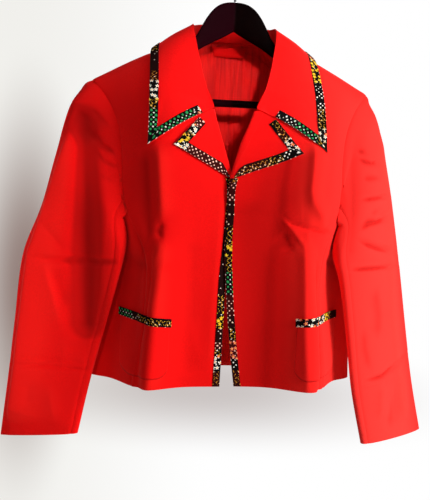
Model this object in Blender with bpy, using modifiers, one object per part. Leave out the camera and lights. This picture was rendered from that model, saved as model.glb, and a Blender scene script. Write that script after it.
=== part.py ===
"""A red women's trachten jacket with a notched collar and printed trim, on a plain plastic hanger.

Units are metres. +Z is up, the viewer stands at -Y, and the origin is the inside top of the hanger's hook.
Left and right are as the viewer sees them. Tables are in millimetres, for the half at +X.
"""

import math
from collections import namedtuple

import bmesh
import bpy
from mathutils import Vector

for thing in list(bpy.data.objects):
    bpy.data.objects.remove(thing, do_unlink=True)

MM = 0.001

# Walls and the room between pieces
CLOTH = 1.8 * MM
COLLAR_CLOTH = 2.0 * MM
LINING = 1.0 * MM
LINING_ROOM = 2.3 * MM
TRIM = 1.0 * MM
SEAM = 0.25 * MM
ON_TOP = 0.5 * MM
ON_FOLD = 1.3 * MM
ON_LAPEL = 0.8 * MM

# Widths of what is sewn on
COLLAR_TRIM_WIDTH = 13.0 * MM
FRONT_TRIM_WIDTH = 10.5 * MM
POCKET_TRIM_WIDTH = 12.0 * MM

# Places of the ring's columns, from the front edge round to the centre back
U_MID, U_RIDGE, U_DIP, U_SEAM, U_FLANK, U_SIDE, U_BACK_SEAM = 0.16, 0.34, 0.40, 0.46, 0.54, 0.63, 0.78
U_BLADE, U_NECK, U_NAPE = 0.84, 0.90, 0.95

# The body below the underarm: one row for each level ring
Level = namedtuple("Level", "z edge_left edge_right edge_y lap ridge_x ridge_y seam_x seam_y "
                            "side_x side_y side_z back_x back_y centre_y")
LEVELS = [
    Level(-623, 12, 9, -88, 0, 119, -115, 141, -90, 204, -8, -622, 160, 55, 72),
    Level(-575, 11, 2, -88, 1, 117, -114, 137, -93, 202, -8, -575, 158, 56, 72),
    Level(-518, 10, -5, -88, 2, 112, -112, 127, -97, 198, -8, -518, 155, 57, 71),
    Level(-465, 9, -10, -87, 3, 105, -109, 125, -95, 194, -9, -468, 153, 57, 69),
    Level(-415, 6, -13, -87, 3.5, 101, -107, 136, -89, 190, -10, -432, 155, 55, 66),
    Level(-372, 4, -12, -86, 4, 104, -105, 156, -72, 186, -10, -405, 160, 50, 63),
]

# The chest and back above the underarm: one row for each section up to the shoulder seam
Yoke = namedtuple("Yoke", "edge_left edge_right edge_y edge_z lap ridge_x ridge_y ridge_z "
                          "arm_x arm_y arm_z back_x back_y back_z centre_y centre_z")
YOKES = [
    Yoke(4.5, -9, -84, -322, 4.5, 109, -103, -326, 163, -63, -333, 164, 45, -325, 62, -318),
    Yoke(28, 17, -79, -268, 1.5, 117, -96, -282, 165, -56, -291, 168, 39, -280, 61, -262),
    Yoke(43, 40, -67, -220, 0, 123, -79, -238, 171, -45, -249, 177, 30, -238, 60, -206),
    Yoke(62, 61, -36, -165, 0, 127, -50, -184, 187, -27, -211, 191, 18, -206, 59, -152),
    Yoke(70, 70, -13, -126, 0, 133, -16, -148, 206, -9, -186, 206, 8, -186, 58.5, -118),
    Yoke(72, 72, 0, -118, 0, 135, 0, -140, 211, 0, -180, 211, 0, -180, 58, -107),
]
NECK_CORNER = Vector((52, 42, -111)) * MM

# Fullness between the columns
MID_HOLLOW = (7, 7, 6, 4, 1, -2, -4, -5, -6, -5, -2, 0)
DIP_HOLLOW = (4, 4, 3, 1, -3, -6, -6, -6, -6, -4, -1, 0)
FLANK_HOLLOW = 6

# The sleeve's rings: its outer and inner edges and how far the two faces stand off the line between them
Cuff = namedtuple("Cuff", "outer_x outer_y outer_z inner_x inner_y inner_z front back")
SLEEVES = {
    "left": [
        Cuff(238, 2, -218, 176, -42, -330, 26, 30),
        Cuff(255, 4, -290, 160, -66, -385, 24, 34),
        Cuff(276, 6, -368, 158, -76, -428, 18, 30),
        Cuff(304, 8, -444, 164, -78, -466, 13, 22),
        Cuff(314, 8, -545, 184, -70, -552, 12, 18),
        Cuff(321, 8, -625, 201, -60, -626, 12, 16),
        Cuff(331, 8, -722, 216, -50, -704, 12, 15),
    ],
    "right": [
        Cuff(227, 2, -210, 176, -42, -330, 26, 30),
        Cuff(243, 4, -280, 160, -66, -385, 24, 34),
        Cuff(262, 6, -356, 158, -76, -428, 18, 30),
        Cuff(280, 8, -444, 168, -78, -470, 13, 22),
        Cuff(297, 8, -545, 183, -70, -552, 12, 18),
        Cuff(311, 8, -625, 197, -60, -632, 12, 16),
        Cuff(330, 8, -708, 219, -50, -718, 12, 15),
    ],
}
SLEEVE_INNER = 0.41
SLEEVE_FRONT_SEAM = 0.345
SLEEVE_BACK_SEAM = 0.72
CROWN_SHIFT = 0.0357

# The collar's sections, from the gorge to the centre back
Section = namedtuple("Section", "seam_x seam_y seam_z fold_x fold_y fold_z outer_x outer_y outer_z")
COLLAR = [
    Section(42, -55, -215, 38.5, -71, -217, 130, -95, -276),
    Section(53, -40, -186, 49, -57, -186, 129, -84, -232),
    Section(61, -19, -152, 57, -36, -148, 128, -54, -182),
    Section(68.5, -1, -114, 64, -8, -94, 124, 0, -129.6),
    Section(60, 26, -110, 58, 26, -86, 108, 42, -136),
    Section(42, 45, -107, 40, 50, -80, 68, 72, -132),
    Section(0, 55, -105, 0, 60, -77, 0, 82, -128),
]
FOLD_ROUND = 3.0
NOTCH_X, NOTCH_Z = 57, -231

# The lapel: its roll line from the gorge to the break, in the front's own columns, and its point
Roll = namedtuple("Roll", "left_x right_x z")
ROLL = [Roll(40, 37, -219.5), Roll(33, 28, -241), Roll(25, 16, -265), Roll(13, 0, -297), Roll(8, -8, -314)]
LAPEL_POINT = (93, -275)
LAPEL_LIFT = 4.2

# The pockets: an inner and an outer edge, a mouth and a bottom
Pocket = namedtuple("Pocket", "inner outer inner_top outer_top bottom")
POCKETS = {"left": Pocket(91, 157, -522, -514, -607), "right": Pocket(93, 167, -516, -512, -602)}
POCKET_CORNER = 17
POCKET_CLOTH = 1.5 * MM
TRIM_OVERHANG = 2.2

# The hanger: its outline from the middle to the foot of the arm, and how far it comes forward
Arm = namedtuple("Arm", "x top bottom y")
HANGER = [
    Arm(0, -52, -96, 5), Arm(15, -54, -105, 3.4), Arm(30, -62, -113, 1.8), Arm(44, -80, -121, 0.4),
    Arm(56, -103, -129, -0.6), Arm(70, -122.4, -138, -0.4), Arm(100, -132.4, -153, 0), Arm(135, -144.4, -170, 0),
    Arm(167, -160.6, -190, 0), Arm(168, -161.2, -213, 0), Arm(184, -170.4, -213, 0), Arm(193, -176.0, -206, 0),
]
HANGER_THICK = 10.5
BAR_Z, BAR_RADIUS, BAR_END = -205, 5.6, 166.9
WIRE_RADIUS, HOOK_RADIUS, HOOK_STEM = 1.9, 21.0, -51.6

SIDES = {"left": -1, "right": 1}
COLLECTION = bpy.data.collections.new("trachten_jacket")
bpy.context.scene.collection.children.link(COLLECTION)


def material(name, colour, roughness, metallic=0.0):
    made = bpy.data.materials.new(name)
    made.use_nodes = True
    shader = made.node_tree.nodes["Principled BSDF"]
    shader.inputs["Base Color"].default_value = (*colour, 1.0)
    shader.inputs["Roughness"].default_value = roughness
    shader.inputs["Metallic"].default_value = metallic
    return made


RED = material("red wool cloth", (0.75, 0.005, 0.004), 0.85)
SATIN = material("red satin lining", (0.62, 0.02, 0.01), 0.4)
PRINT = material("black printed cotton", (0.02, 0.018, 0.015), 0.8)
PLASTIC = material("dark moulded plastic", (0.02, 0.004, 0.012), 0.3)
STEEL = material("bright steel wire", (0.55, 0.55, 0.56), 0.25, 1.0)


def smooth(keys, points, at):
    """A curve through the points, each reached at its own key."""
    at = min(max(at, keys[0]), keys[-1])
    i = max(k for k in range(len(keys) - 1) if keys[k] <= at)

    def slope(k):
        low, high = max(k - 1, 0), min(k + 1, len(keys) - 1)
        return (points[high] - points[low]) / (keys[high] - keys[low])

    step = keys[i + 1] - keys[i]
    t = (at - keys[i]) / step
    return (points[i] * (2 * t**3 - 3 * t**2 + 1) + points[i + 1] * (3 * t**2 - 2 * t**3)
            + slope(i) * step * (t**3 - 2 * t**2 + t) + slope(i + 1) * step * (t**3 - t**2))


def mix(a, b, share):
    return a + (b - a) * share


def shares(start, end, count):
    return [mix(start, end, k / count) for k in range(count + 1)]


def mm(x, y, z):
    return Vector((x, y, z)) * MM


def between(a, b, hollow):
    """The point midway between two columns, pushed back by the hollow."""
    return mix(a, b, 0.5) + mm(0, hollow, 0)


def front_columns(side, k):
    """The front's columns on row k, from the edge to the seam or armhole."""
    if k < len(LEVELS):
        row = LEVELS[k]
        edge_z = ridge_z = seam_z = row.z
        seam = mm(row.seam_x, row.seam_y, seam_z)
    else:
        row = YOKES[k - len(LEVELS)]
        edge_z, ridge_z = row.edge_z, row.ridge_z
        seam = mm(row.arm_x, row.arm_y, row.arm_z)
    edge = mm(getattr(row, "edge_" + side), row.edge_y - SIDES[side] * row.lap, edge_z)
    ridge = mm(row.ridge_x, row.ridge_y, ridge_z)
    return [edge, between(edge, ridge, MID_HOLLOW[k]), ridge, between(ridge, seam, DIP_HOLLOW[k]), seam]


def back_columns(k):
    """The back's columns on row k, from the back seam or armhole to the centre."""
    if k < len(LEVELS):
        row = LEVELS[k]
        start, end = mm(row.back_x, row.back_y, row.z), mm(0, row.centre_y, row.z)
    else:
        row = YOKES[k - len(LEVELS)]
        start, end = mm(row.back_x, row.back_y, row.back_z), mm(0, row.centre_y, row.centre_z)
    columns = [start]
    bend = BLADE_BEND.get(k, 0.8)
    for share in (0.28, 0.54, 0.78):
        rise = math.sin(share * math.pi / 2) ** bend
        columns.append(Vector((mix(start.x, end.x, share), mix(start.y, end.y, rise), mix(start.z, end.z, share))))
    if k == ROWS - 1:
        columns = [start, mm(135, 0, -140), mm(72, 0, -118), NECK_CORNER]
    return columns + [end]


ROWS = len(LEVELS) + len(YOKES)
BLADE_BEND = {ROWS - 3: 1.1, ROWS - 2: 1.6}
FRONT_U = [0, U_MID, U_RIDGE, U_DIP, U_SEAM]
BACK_U = [U_BACK_SEAM, U_BLADE, U_NECK, U_NAPE, 1]
RISE = [0]
for row_number in range(1, ROWS):
    step_up = front_columns("left", row_number)[-1] - front_columns("left", row_number - 1)[-1]
    RISE.append(RISE[-1] + step_up.length)
RISE = [rise / RISE[-1] for rise in RISE]
RISE.append(2 - RISE[-2])
V_UNDERARM = RISE[len(LEVELS) - 1]
FRONT_ROWS, BACK_COLUMNS, BACK_ROWS, LINING_ROWS = 20, 18, 18, 16
BACK_EASE = 0.35


def ring_columns(side, k, u):
    """The keys and columns that row k has at this place: a whole ring, or the front's or the back's part."""
    if k >= len(LEVELS):
        return (FRONT_U, front_columns(side, k)) if u <= U_SEAM else (BACK_U, back_columns(k))
    row = LEVELS[k]
    side_point = mm(row.side_x, row.side_y, row.side_z)
    seam = mm(row.seam_x, row.seam_y, (row.z + row.side_z) / 2)
    flank = between(seam, side_point, FLANK_HOLLOW) - mm(3, 0, 0)
    return FRONT_U + [U_FLANK, U_SIDE] + BACK_U, front_columns(side, k) + [flank, side_point] + back_columns(k)


COLUMNS = {(side, k, part): ring_columns(side, k, part) for side in SIDES for k in range(ROWS) for part in (0, 1)}


def beyond(side, part):
    """A row past the top, which makes the cloth level over the shoulder seam and upright at the back neck."""
    keys, low = COLUMNS[side, ROWS - 2, part]
    top = COLUMNS[side, ROWS - 1, part][1]
    turned = [Vector((point.x, -point.y, point.z)) for point in low]
    straight = [2 * high - point for high, point in zip(top, low)]
    return keys, [bent if k < 3 or part == 0 else plain for k, (bent, plain) in enumerate(zip(turned, straight))]


COLUMNS.update({(side, ROWS, part): beyond(side, part) for side in SIDES for part in (0, 1)})


def body(side, u, v):
    """A point of the body's outer face: u runs round from the front edge, v up from the hem."""
    part = 0 if u <= U_SEAM else 1
    count = len(LEVELS) if U_SEAM < u < U_BACK_SEAM else ROWS
    v = min(max(v, 0), RISE[count - 1])
    below = max(k for k in range(count - 1) if RISE[k] <= v)
    near = range(max(below - 1, 0), min(below + 3, count + (count == ROWS)))
    points = [smooth(*COLUMNS[side, k, part], u) for k in near]
    if part and near[-1] >= ROWS - 1:
        top = points[near.index(ROWS - 1)]
        top.y = max(top.y, 0)
    found = smooth([RISE[k] for k in near], points, v)
    return Vector((found.x * SIDES[side], found.y, found.z))


def outward(surface, u, v, sign):
    """The surface's normal, pointing away from the body."""
    h = 0.004
    across = surface(min(u + h, 1), v) - surface(max(u - h, 0), v)
    along = surface(u, min(v + h, 1)) - surface(u, max(v - h, 0))
    return across.cross(along).normalized() * sign


def find(surface, x, z, v, top_u, top_v):
    """The u and v at which the surface has this x and z, found by Newton's steps from a first guess."""
    h = 1e-3
    u = min(shares(0, top_u, 24), key=lambda guess: abs(surface(guess, v).x - x))
    for _ in range(12):
        here = surface(u, v)
        du = (surface(min(u + h, 1), v) - surface(max(u - h, 0), v)) / (2 * h)
        dv = (surface(u, min(v + h, 1)) - surface(u, max(v - h, 0))) / (2 * h)
        turn = du.x * dv.z - du.z * dv.x
        if abs(turn) < 1e-9:
            break
        gap_x, gap_z = x - here.x, z - here.z
        step_u = (gap_x * dv.z - gap_z * dv.x) / turn
        step_v = (du.x * gap_z - du.z * gap_x) / turn
        u = min(max(u + min(max(step_u, -0.05), 0.05), 0), top_u)
        v = min(max(v + min(max(step_v, -0.1), 0.1), 0), top_v)
    return u, v


def on_front(side, x, z, lift, top_u=U_SEAM):
    """The point over the front's outer face at this x and z, moved out by the lift."""
    def surface(u, v):
        return body(side, u, v)
    top_v = 1.0 if top_u <= U_SEAM else V_UNDERARM
    u, v = find(surface, x, z, min((z / MM + 623) / 505, top_v), top_u, top_v)
    return surface(u, v) + outward(surface, u, v, SIDES[side]) * lift


def finish(thing, made_of, wall, offset):
    thing.data.materials.append(made_of)
    COLLECTION.objects.link(thing)
    for face in thing.data.polygons:
        face.use_smooth = True
    if wall:
        thickness = thing.modifiers.new("Wall", "SOLIDIFY")
        thickness.thickness = wall
        thickness.offset = offset
        thickness.use_quality_normals = True
    return thing


def sheet(name, across, along, place, made_of, wall, flip=False, offset=-1.0):
    """An open grid whose points are placed by a function of two shares from 0 to 1, given a wall."""
    grid = bmesh.new()
    bmesh.ops.create_grid(grid, x_segments=across, y_segments=along, size=0.5)
    for point in grid.verts:
        point.co = place(round(point.co.x + 0.5, 6), round(point.co.y + 0.5, 6))
    if flip:
        bmesh.ops.reverse_faces(grid, faces=grid.faces)
    mesh = bpy.data.meshes.new(name)
    grid.to_mesh(mesh)
    grid.free()
    return finish(bpy.data.objects.new(name, mesh), made_of, wall, offset)


def inset(share, width):
    """A share from 0 to 1 drawn in from both ends, to leave the seam's room on a panel of this width."""
    room = SEAM / width
    return room + share * (1 - 2 * room)


def eased(share, amount):
    """A share whose steps are small near both ends, where the cloth turns into its seams."""
    return share - amount * math.sin(2 * math.pi * share) / (2 * math.pi)


def to_shoulder(share, rows):
    """A share up the body whose rows shorten toward the shoulder seam, the last three most of all."""
    bend = (rows - 3) / rows
    if share <= bend:
        return RISE[ROWS - 2] * (share / bend + 0.13 * math.sin(math.pi * share / bend))
    return mix(RISE[ROWS - 2], 1, ((share - bend) / (1 - bend)) ** 0.5)


def make_fronts():
    for side, sign in SIDES.items():
        def place(s, t, side=side):
            return body(side, U_SEAM * inset(eased(s, 0.3), 0.07), inset(to_shoulder(t, FRONT_ROWS), 0.13))
        sheet("front_" + side, 16, FRONT_ROWS, place, RED, CLOTH, flip=sign < 0)


def make_side_panels():
    for side, sign in SIDES.items():
        def place(s, t, side=side):
            return body(side, mix(U_SEAM, U_BACK_SEAM, inset(eased(s, 0.6), 0.06)), V_UNDERARM * inset(t, 0.25))
        sheet("side_panel_" + side, 12, 9, place, RED, CLOTH, flip=sign < 0)


def across_back(s, t):
    """The back from the left back seam to the right one, as a share across and a share up."""
    side = "left" if s < 0.5 else "right"
    return body(side, mix(1, U_BACK_SEAM, abs(2 * s - 1)), t)


def make_back():
    def place(s, t):
        return across_back(inset(eased(s, BACK_EASE), 0.125), inset(to_shoulder(t, BACK_ROWS), 0.13))
    sheet("back", BACK_COLUMNS, BACK_ROWS, place, RED, CLOTH, flip=True)


def make_back_lining():
    """The satin lining that shows inside the neck, just clear of the back."""
    def place(s, t):
        share = eased(mix(1, BACK_COLUMNS - 1, s) / BACK_COLUMNS, BACK_EASE)
        side = "left" if share < 0.5 else "right"
        u = mix(1, U_BACK_SEAM, abs(2 * share - 1))
        row = t * LINING_ROWS
        low = to_shoulder(min(row, LINING_ROWS - 3) / BACK_ROWS, BACK_ROWS)
        low = mix(low, to_shoulder((LINING_ROWS - 2) / BACK_ROWS, BACK_ROWS), max(row - LINING_ROWS + 3, 0) / 3)
        high = min(to_shoulder(row / BACK_ROWS, BACK_ROWS), 0.985)
        v = mix(low, high, min(max((u - 0.85) / 0.1, 0), 1))
        normal = outward(lambda a, b: body(side, a, b), min(u, 0.995), v, SIDES[side])
        return across_back(share, v) - normal * (CLOTH + LINING_ROOM)
    sheet("back_lining", BACK_COLUMNS - 2, LINING_ROWS, place, SATIN, LINING, flip=True)


def armhole(side):
    """The armhole's points, from the shoulder down the front, under the arm and up the back."""
    points = [body(side, U_SEAM, mix(1, V_UNDERARM, k / 12)) for k in range(12)]
    points += [body(side, mix(U_SEAM, U_BACK_SEAM, k / 12), V_UNDERARM) for k in range(12)]
    points += [body(side, U_BACK_SEAM, mix(V_UNDERARM, 1, k / 12)) for k in range(13)]
    lengths = [0]
    for a, b in zip(points, points[1:]):
        lengths.append(lengths[-1] + (b - a).length)
    return points, [length / lengths[-1] for length in lengths]


def sleeve_surface(side):
    """The sleeve as a function of the share round it from the shoulder and the share down it."""
    hole, hole_keys = armhole(side)
    sign = SIDES[side]
    rings = SLEEVES[side]
    drops = [0, 0.025, 0.07, 0.15, 0.29, 0.43, 0.60, 0.78, 1]

    def ring(row, s):
        if s <= SLEEVE_INNER:
            angle = math.pi * s / SLEEVE_INNER
        else:
            angle = math.pi * (1 + (s - SLEEVE_INNER) / (1 - SLEEVE_INNER))
        outer, inner = mm(row.outer_x, row.outer_y, row.outer_z), mm(row.inner_x, row.inner_y, row.inner_z)
        line = (outer - inner).normalized()
        face = Vector((line.y, -line.x, 0)).normalized()
        stand = row.front if angle <= math.pi else row.back
        lift = math.copysign(abs(math.sin(angle)) ** 0.8, math.sin(angle)) * stand * MM
        return mix(inner, outer, (1 + math.cos(angle)) / 2) + face * lift

    def surface(s, t):
        start = smooth(hole_keys, hole, s)
        under = min(max((0.5 - abs(s - 0.55)) / 0.12 - 1.6, 0), 1)
        start = Vector((start.x * sign + mix(0.8, 1.0, under) * MM, start.y, start.z))
        flare = Vector((mix(2.2, 3.5, under), 0, mix(-0.4, -0.8, under))) * MM
        points = [start, start + flare, start + flare * 2] + [ring(row, s) for row in rings[1:]]
        head = min(1.5 - min(s, 1 - s) / 0.20, 1)
        if head > 0:
            crown = ring(rings[0], s)
            points[1] = mix(points[1], mix(start, crown, 0.35) + mm(0, 0, 2), head)
            points[2] = mix(points[2], crown, head)
        points[3] = mix(points[3], start + flare * 3.5, 0.8 * under)
        points[4] = mix(points[4], start + flare * 8, 0.3 * under)
        found = smooth(drops, points, t)
        found = clear_of_body(side, Vector((found.x * sign, found.y, found.z)), mix(0.6, 4.6, min(t / 0.12, 1)))
        return found
    return surface


def clear_of_body(side, point, room):
    """The same point, moved out where it would come nearer than this to the body's side."""
    if not LEVELS[0].z * MM < point.z < (LEVELS[-1].z - 4) * MM:
        return point
    row = max(k for k in range(len(LEVELS) - 1) if LEVELS[k].z * MM <= point.z)
    rise = (point.z / MM - LEVELS[row].z) / (LEVELS[row + 1].z - LEVELS[row].z)
    v = mix(RISE[row], RISE[row + 1], rise)
    ring = [body(side, u, v) for u in shares(0.36, 0.86, 20)]
    best = None
    for a, b in zip(ring, ring[1:]):
        run = Vector((b.x - a.x, b.y - a.y))
        along = min(max((Vector((point.x - a.x, point.y - a.y))).dot(run) / run.length_squared, 0), 1)
        near = Vector((a.x, a.y)) + run * along
        normal = Vector((run.y, -run.x)).normalized() * SIDES[side]
        away = Vector((point.x, point.y)) - near
        if best is None or away.length < best[0]:
            best = (away.length, away.dot(normal), near, normal)
    _, stand, near, normal = best
    if stand >= room * MM:
        return point
    spot = near + normal * room * MM
    return Vector((spot.x, spot.y, point.z))


def make_sleeves():
    for side, sign in SIDES.items():
        surface = sleeve_surface(side)

        def upper(s, t, surface=surface):
            share = inset(eased(s, 0.5), 0.2)
            s = mix(SLEEVE_BACK_SEAM - 1, SLEEVE_FRONT_SEAM, share) + CROWN_SHIFT * math.sin(math.pi * share)
            return surface(s % 1.0, 1 - t)

        def under(s, t, surface=surface):
            return surface(mix(SLEEVE_FRONT_SEAM, SLEEVE_BACK_SEAM, inset(eased(s, 0.6), 0.1)), 1 - t)
        sheet("upper_sleeve_" + side, 14, 16, upper, RED, CLOTH, flip=sign > 0)
        sheet("under_sleeve_" + side, 8, 16, under, RED, CLOTH, flip=sign > 0)


def clear_of_front(side, point, lift):
    """The same point, brought forward where it would sink into the front."""
    if point.z > -125 * MM or abs(point.x) < 30 * MM:
        return point
    floor = on_front(side, point.x, point.z, 0)
    if abs(floor.x - point.x) > 3 * MM or abs(floor.z - point.z) > 3 * MM:
        return point
    return Vector((point.x, min(point.y, floor.y - lift), point.z))


def kink(end, notch, corner, share):
    """How far the edge from end to corner bends away from a straight line to pass the notch."""
    whole = corner - end
    at = (notch - end).dot(whole) / whole.length_squared
    off = notch - mix(end, corner, at)
    return off * (share / at if share < at else (1 - share) / (1 - at))


FOLD_T = 0.30
COLLAR_KEYS = [0, 0.22, FOLD_T, 0.38, 0.70, 1]


def collar(s, t):
    """The collar's visible face: s runs from -1 at the left gorge to 1 at the right, t from seam to edge."""
    side = "left" if s < 0 else "right"
    sign = SIDES[side]
    place = (1 - abs(s)) * (len(COLLAR) - 1)
    keys = list(range(len(COLLAR)))
    seam = smooth(keys, [mm(r.seam_x, r.seam_y, r.seam_z) for r in COLLAR], place)
    fold = smooth(keys, [mm(r.fold_x, r.fold_y, r.fold_z) for r in COLLAR], place)
    outer = smooth(keys, [mm(r.outer_x, r.outer_y, r.outer_z) for r in COLLAR], place)
    if abs(s) > 0.999:
        outer = mm(COLLAR[0].outer_x, COLLAR[0].outer_y, COLLAR[0].outer_z)
    out = (outer - fold).normalized()
    rise = (fold - seam).normalized()
    inner_fold = fold - rise * FOLD_ROUND * MM - out * 1.2 * MM
    outer_fold = fold + out * FOLD_ROUND * MM
    belly = mix(outer_fold, outer, 0.5) + mm(0, 0, 3)
    found = smooth(COLLAR_KEYS, [seam, inner_fold, fold, outer_fold, belly, outer], t)
    if place < 1 and t > FOLD_T:
        share = (t - FOLD_T) / (1 - FOLD_T)
        notch = Vector((NOTCH_X * MM, 0, (NOTCH_Z + 0.5) * MM))
        end = Vector((fold.x, 0, fold.z))
        found += kink(end, notch, Vector((outer.x, 0, outer.z)), share) * (1 - place)
    found = Vector((found.x * sign, found.y, found.z))
    if place < 3 and t > FOLD_T:
        lift = mix(LAPEL_LIFT, 3.4, (t - FOLD_T) / (1 - FOLD_T)) * MM
        found = clear_of_front(side, found, lift)
    return found


def make_collar():
    sheet("collar", 40, 10, lambda s, t: collar(2 * s - 1, t), RED, COLLAR_CLOTH)


LAPEL_KEYS = [0, 0.10, 0.17, 0.24]


def lapel_surface(side):
    """The turned-out lapel: s runs down the roll line from the gorge to the break, t out to the edge."""
    sign = SIDES[side]
    keys = [0, 0.25, 0.5, 0.83, 1]

    def surface(s, t):
        roll = smooth(keys, [Vector((getattr(r, side + "_x"), 0, r.z)) * MM for r in ROLL], s)
        last = ROLL[-1]
        point = Vector((LAPEL_POINT[0], 0, LAPEL_POINT[1])) * MM
        tail = Vector((getattr(last, side + "_x") + 5, 0, last.z + 0.5)) * MM
        edge = mix(point, tail, s)
        share = max((t - LAPEL_KEYS[3]) / (1 - LAPEL_KEYS[3]), 0)
        flat = mix(roll + Vector((1.5 * MM, 0, -0.8 * MM)), edge, share)
        if s < 0.3:
            start = roll + Vector((1.5 * MM, 0, -0.8 * MM))
            notch = Vector((NOTCH_X * MM, 0, (NOTCH_Z - 3.0) * MM))
            flat += kink(start, notch, edge, share) * (1 - s / 0.3)
        lift = mix(LAPEL_LIFT, 2.6, share) * MM
        top = on_front(side, flat.x * sign, flat.z, lift)
        if t >= LAPEL_KEYS[3]:
            return top
        root = on_front(side, (roll.x + 2 * MM) * sign, roll.z - 0.8 * MM, 0)
        fade = 1 - s ** 3
        behind = root.y + CLOTH + mix(1.8, 3.2, fade) * MM
        back = Vector(((roll.x + 5 * MM) * sign, behind + 0.4 * MM, roll.z - 0.8 * MM))
        low = Vector(((roll.x - 1.8 * MM) * sign, behind - 1.2 * fade * MM, roll.z - 0.8 * MM))
        turn = Vector(((roll.x - 3.6 * MM) * sign, root.y - 1.6 * MM, roll.z - 0.8 * MM))
        return smooth(LAPEL_KEYS, [back, low, turn, top], t)
    return surface


def make_lapels():
    for side, sign in SIDES.items():
        surface = lapel_surface(side)
        sheet("lapel_" + side, 10, 10, lambda s, t, f=surface: f(t * 0.94, s), RED, CLOTH, flip=sign > 0)


def slopes(surface, a, b, low):
    """How the surface moves with a and with b, measured inside its own edges."""
    h = 2e-3
    high_a, low_a = min(a + h, 1), max(a - h, low)
    high_b, low_b = min(b + h, 1), max(b - h, 0)
    return ((surface(high_a, b) - surface(low_a, b)) / (high_a - low_a),
            (surface(a, high_b) - surface(a, low_b)) / (high_b - low_b))


def facing(surface, a, b, low, sign):
    across, along = slopes(surface, a, b, low)
    return across.cross(along).normalized() * sign


def pull_in(surface, a, b, low, target):
    """The place on the surface nearest to a target, from a first guess."""
    for _ in range(8):
        da, db = slopes(surface, a, b, low)
        gap = target - surface(a, b)
        aa, ab, bb = da.dot(da), da.dot(db), db.dot(db)
        turn = aa * bb - ab * ab
        if abs(turn) < 1e-14:
            break
        a = min(max(a + (gap.dot(da) * bb - gap.dot(db) * ab) / turn, low), 1)
        b = min(max(b + (gap.dot(db) * aa - gap.dot(da) * ab) / turn, 0), 1)
    return a, b


def band(name, surface, route, lift, low, sign, hand, floor=-1.0):
    """A strip of trim along a route of places on a surface, lifted off it and mitred at the corners.

    The surface's first share starts from low. The sign turns its normal outward, and the hand says which
    side of the route is the inner one.
    """
    points = [surface(a, b) for a, b in route]
    inner = []
    for k, (a, b) in enumerate(route):
        before = (points[k] - points[max(k - 1, 0)])
        after = (points[min(k + 1, len(points) - 1)] - points[k])
        before = before if before.length else after
        after = after if after.length else before
        normal = facing(surface, a, b, low, sign)
        left = normal.cross(before.normalized())
        right = normal.cross(after.normalized())
        half = (left + right) / 2 * hand
        target = points[k] + half * (COLLAR_TRIM_WIDTH / half.length_squared)
        found = pull_in(surface, a, b, low, target)
        inner.append((found[0], max(found[1], floor)))

    def place(s, t):
        at = s * (len(route) - 1)
        k = min(int(at), len(route) - 2)
        outer_place = [mix(route[k][i], route[k + 1][i], at - k) for i in (0, 1)]
        inner_place = [mix(inner[k][i], inner[k + 1][i], at - k) for i in (0, 1)]
        a, b = (mix(outer_place[i], inner_place[i], t) for i in (0, 1))
        return surface(a, b) + facing(surface, a, b, low, sign) * lift
    return sheet(name, len(route) - 1, 2, place, PRINT, TRIM, flip=hand < 0, offset=1.0)


def make_collar_trim():
    """One strip from notch to notch, round both collar points and along the collar's edge."""
    ends = [0.46, 0.55, 0.7, 0.85, 1.0]
    route = [(-1, t) for t in ends] + [(s, 1) for s in shares(-1, 1, 40)[1:-1]] + [(1, t) for t in reversed(ends)]
    band("collar_trim", collar, route, ON_FOLD, low=-1, sign=1, hand=-1)


def make_lapel_trims():
    for side, sign in SIDES.items():
        surface = lapel_surface(side)
        route = [(0, t) for t in (0.475, 0.6, 0.8, 1)] + [(s, 1) for s in shares(0, 0.93, 9)[1:]]
        band("lapel_trim_" + side, surface, route, ON_LAPEL, low=0, sign=sign, hand=-sign, floor=0.27)


def make_front_trims():
    """The strips down both front edges, from the break to the hem."""
    for side, sign in SIDES.items():
        top = RISE[len(LEVELS)] + 0.004
        place = lambda s, t, side=side, top=top: trim_place(side, s, mix(0.001, top, t))
        sheet("front_trim_" + side, 2, 16, place, PRINT, TRIM, flip=sign < 0, offset=1.0)


def trim_place(side, s, v):
    def surface(a, b):
        return body(side, a, b)
    reach = (surface(0.04, v) - surface(0, v)).length / 0.04
    u = mix(0.0004, FRONT_TRIM_WIDTH / reach, s)
    return surface(u, v) + outward(surface, u, v, SIDES[side]) * ON_TOP


def pocket_spot(side, x, z, lift):
    return on_front(side, x * MM * SIDES[side], z * MM, lift, top_u=U_SIDE)


def make_pockets():
    """Patch pockets with rounded lower corners, and a strip of trim over each mouth."""
    for side, sign in SIDES.items():
        row = POCKETS[side]

        def place(s, t, side=side, row=row):
            x = mix(row.outer, row.inner, eased(s, 0.4))
            near = min(x - row.inner, row.outer - x, POCKET_CORNER)
            rise = POCKET_CORNER - math.sqrt(POCKET_CORNER**2 - (POCKET_CORNER - near)**2)
            mouth = mix(row.inner_top, row.outer_top, (x - row.inner) / (row.outer - row.inner)) - 1.0
            return pocket_spot(side, x, mix(row.bottom + rise, mouth, t), ON_FOLD)

        def strip(s, t, side=side, row=row):
            overhang = TRIM_OVERHANG * ((s == 0) - (s == 1))
            x = mix(row.outer, row.inner, eased(s, 0.4)) + overhang
            mouth = mix(row.inner_top, row.outer_top, (x - row.inner) / (row.outer - row.inner))
            return pocket_spot(side, x, mouth - (1 - t) * POCKET_TRIM_WIDTH / MM, POCKET_CLOTH + ON_FOLD + 0.9 * MM)
        sheet("pocket_" + side, 18, 7, place, RED, POCKET_CLOTH, flip=sign > 0, offset=1.0)
        sheet("pocket_trim_" + side, 18, 2, strip, PRINT, TRIM, flip=sign > 0, offset=1.0)


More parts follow.
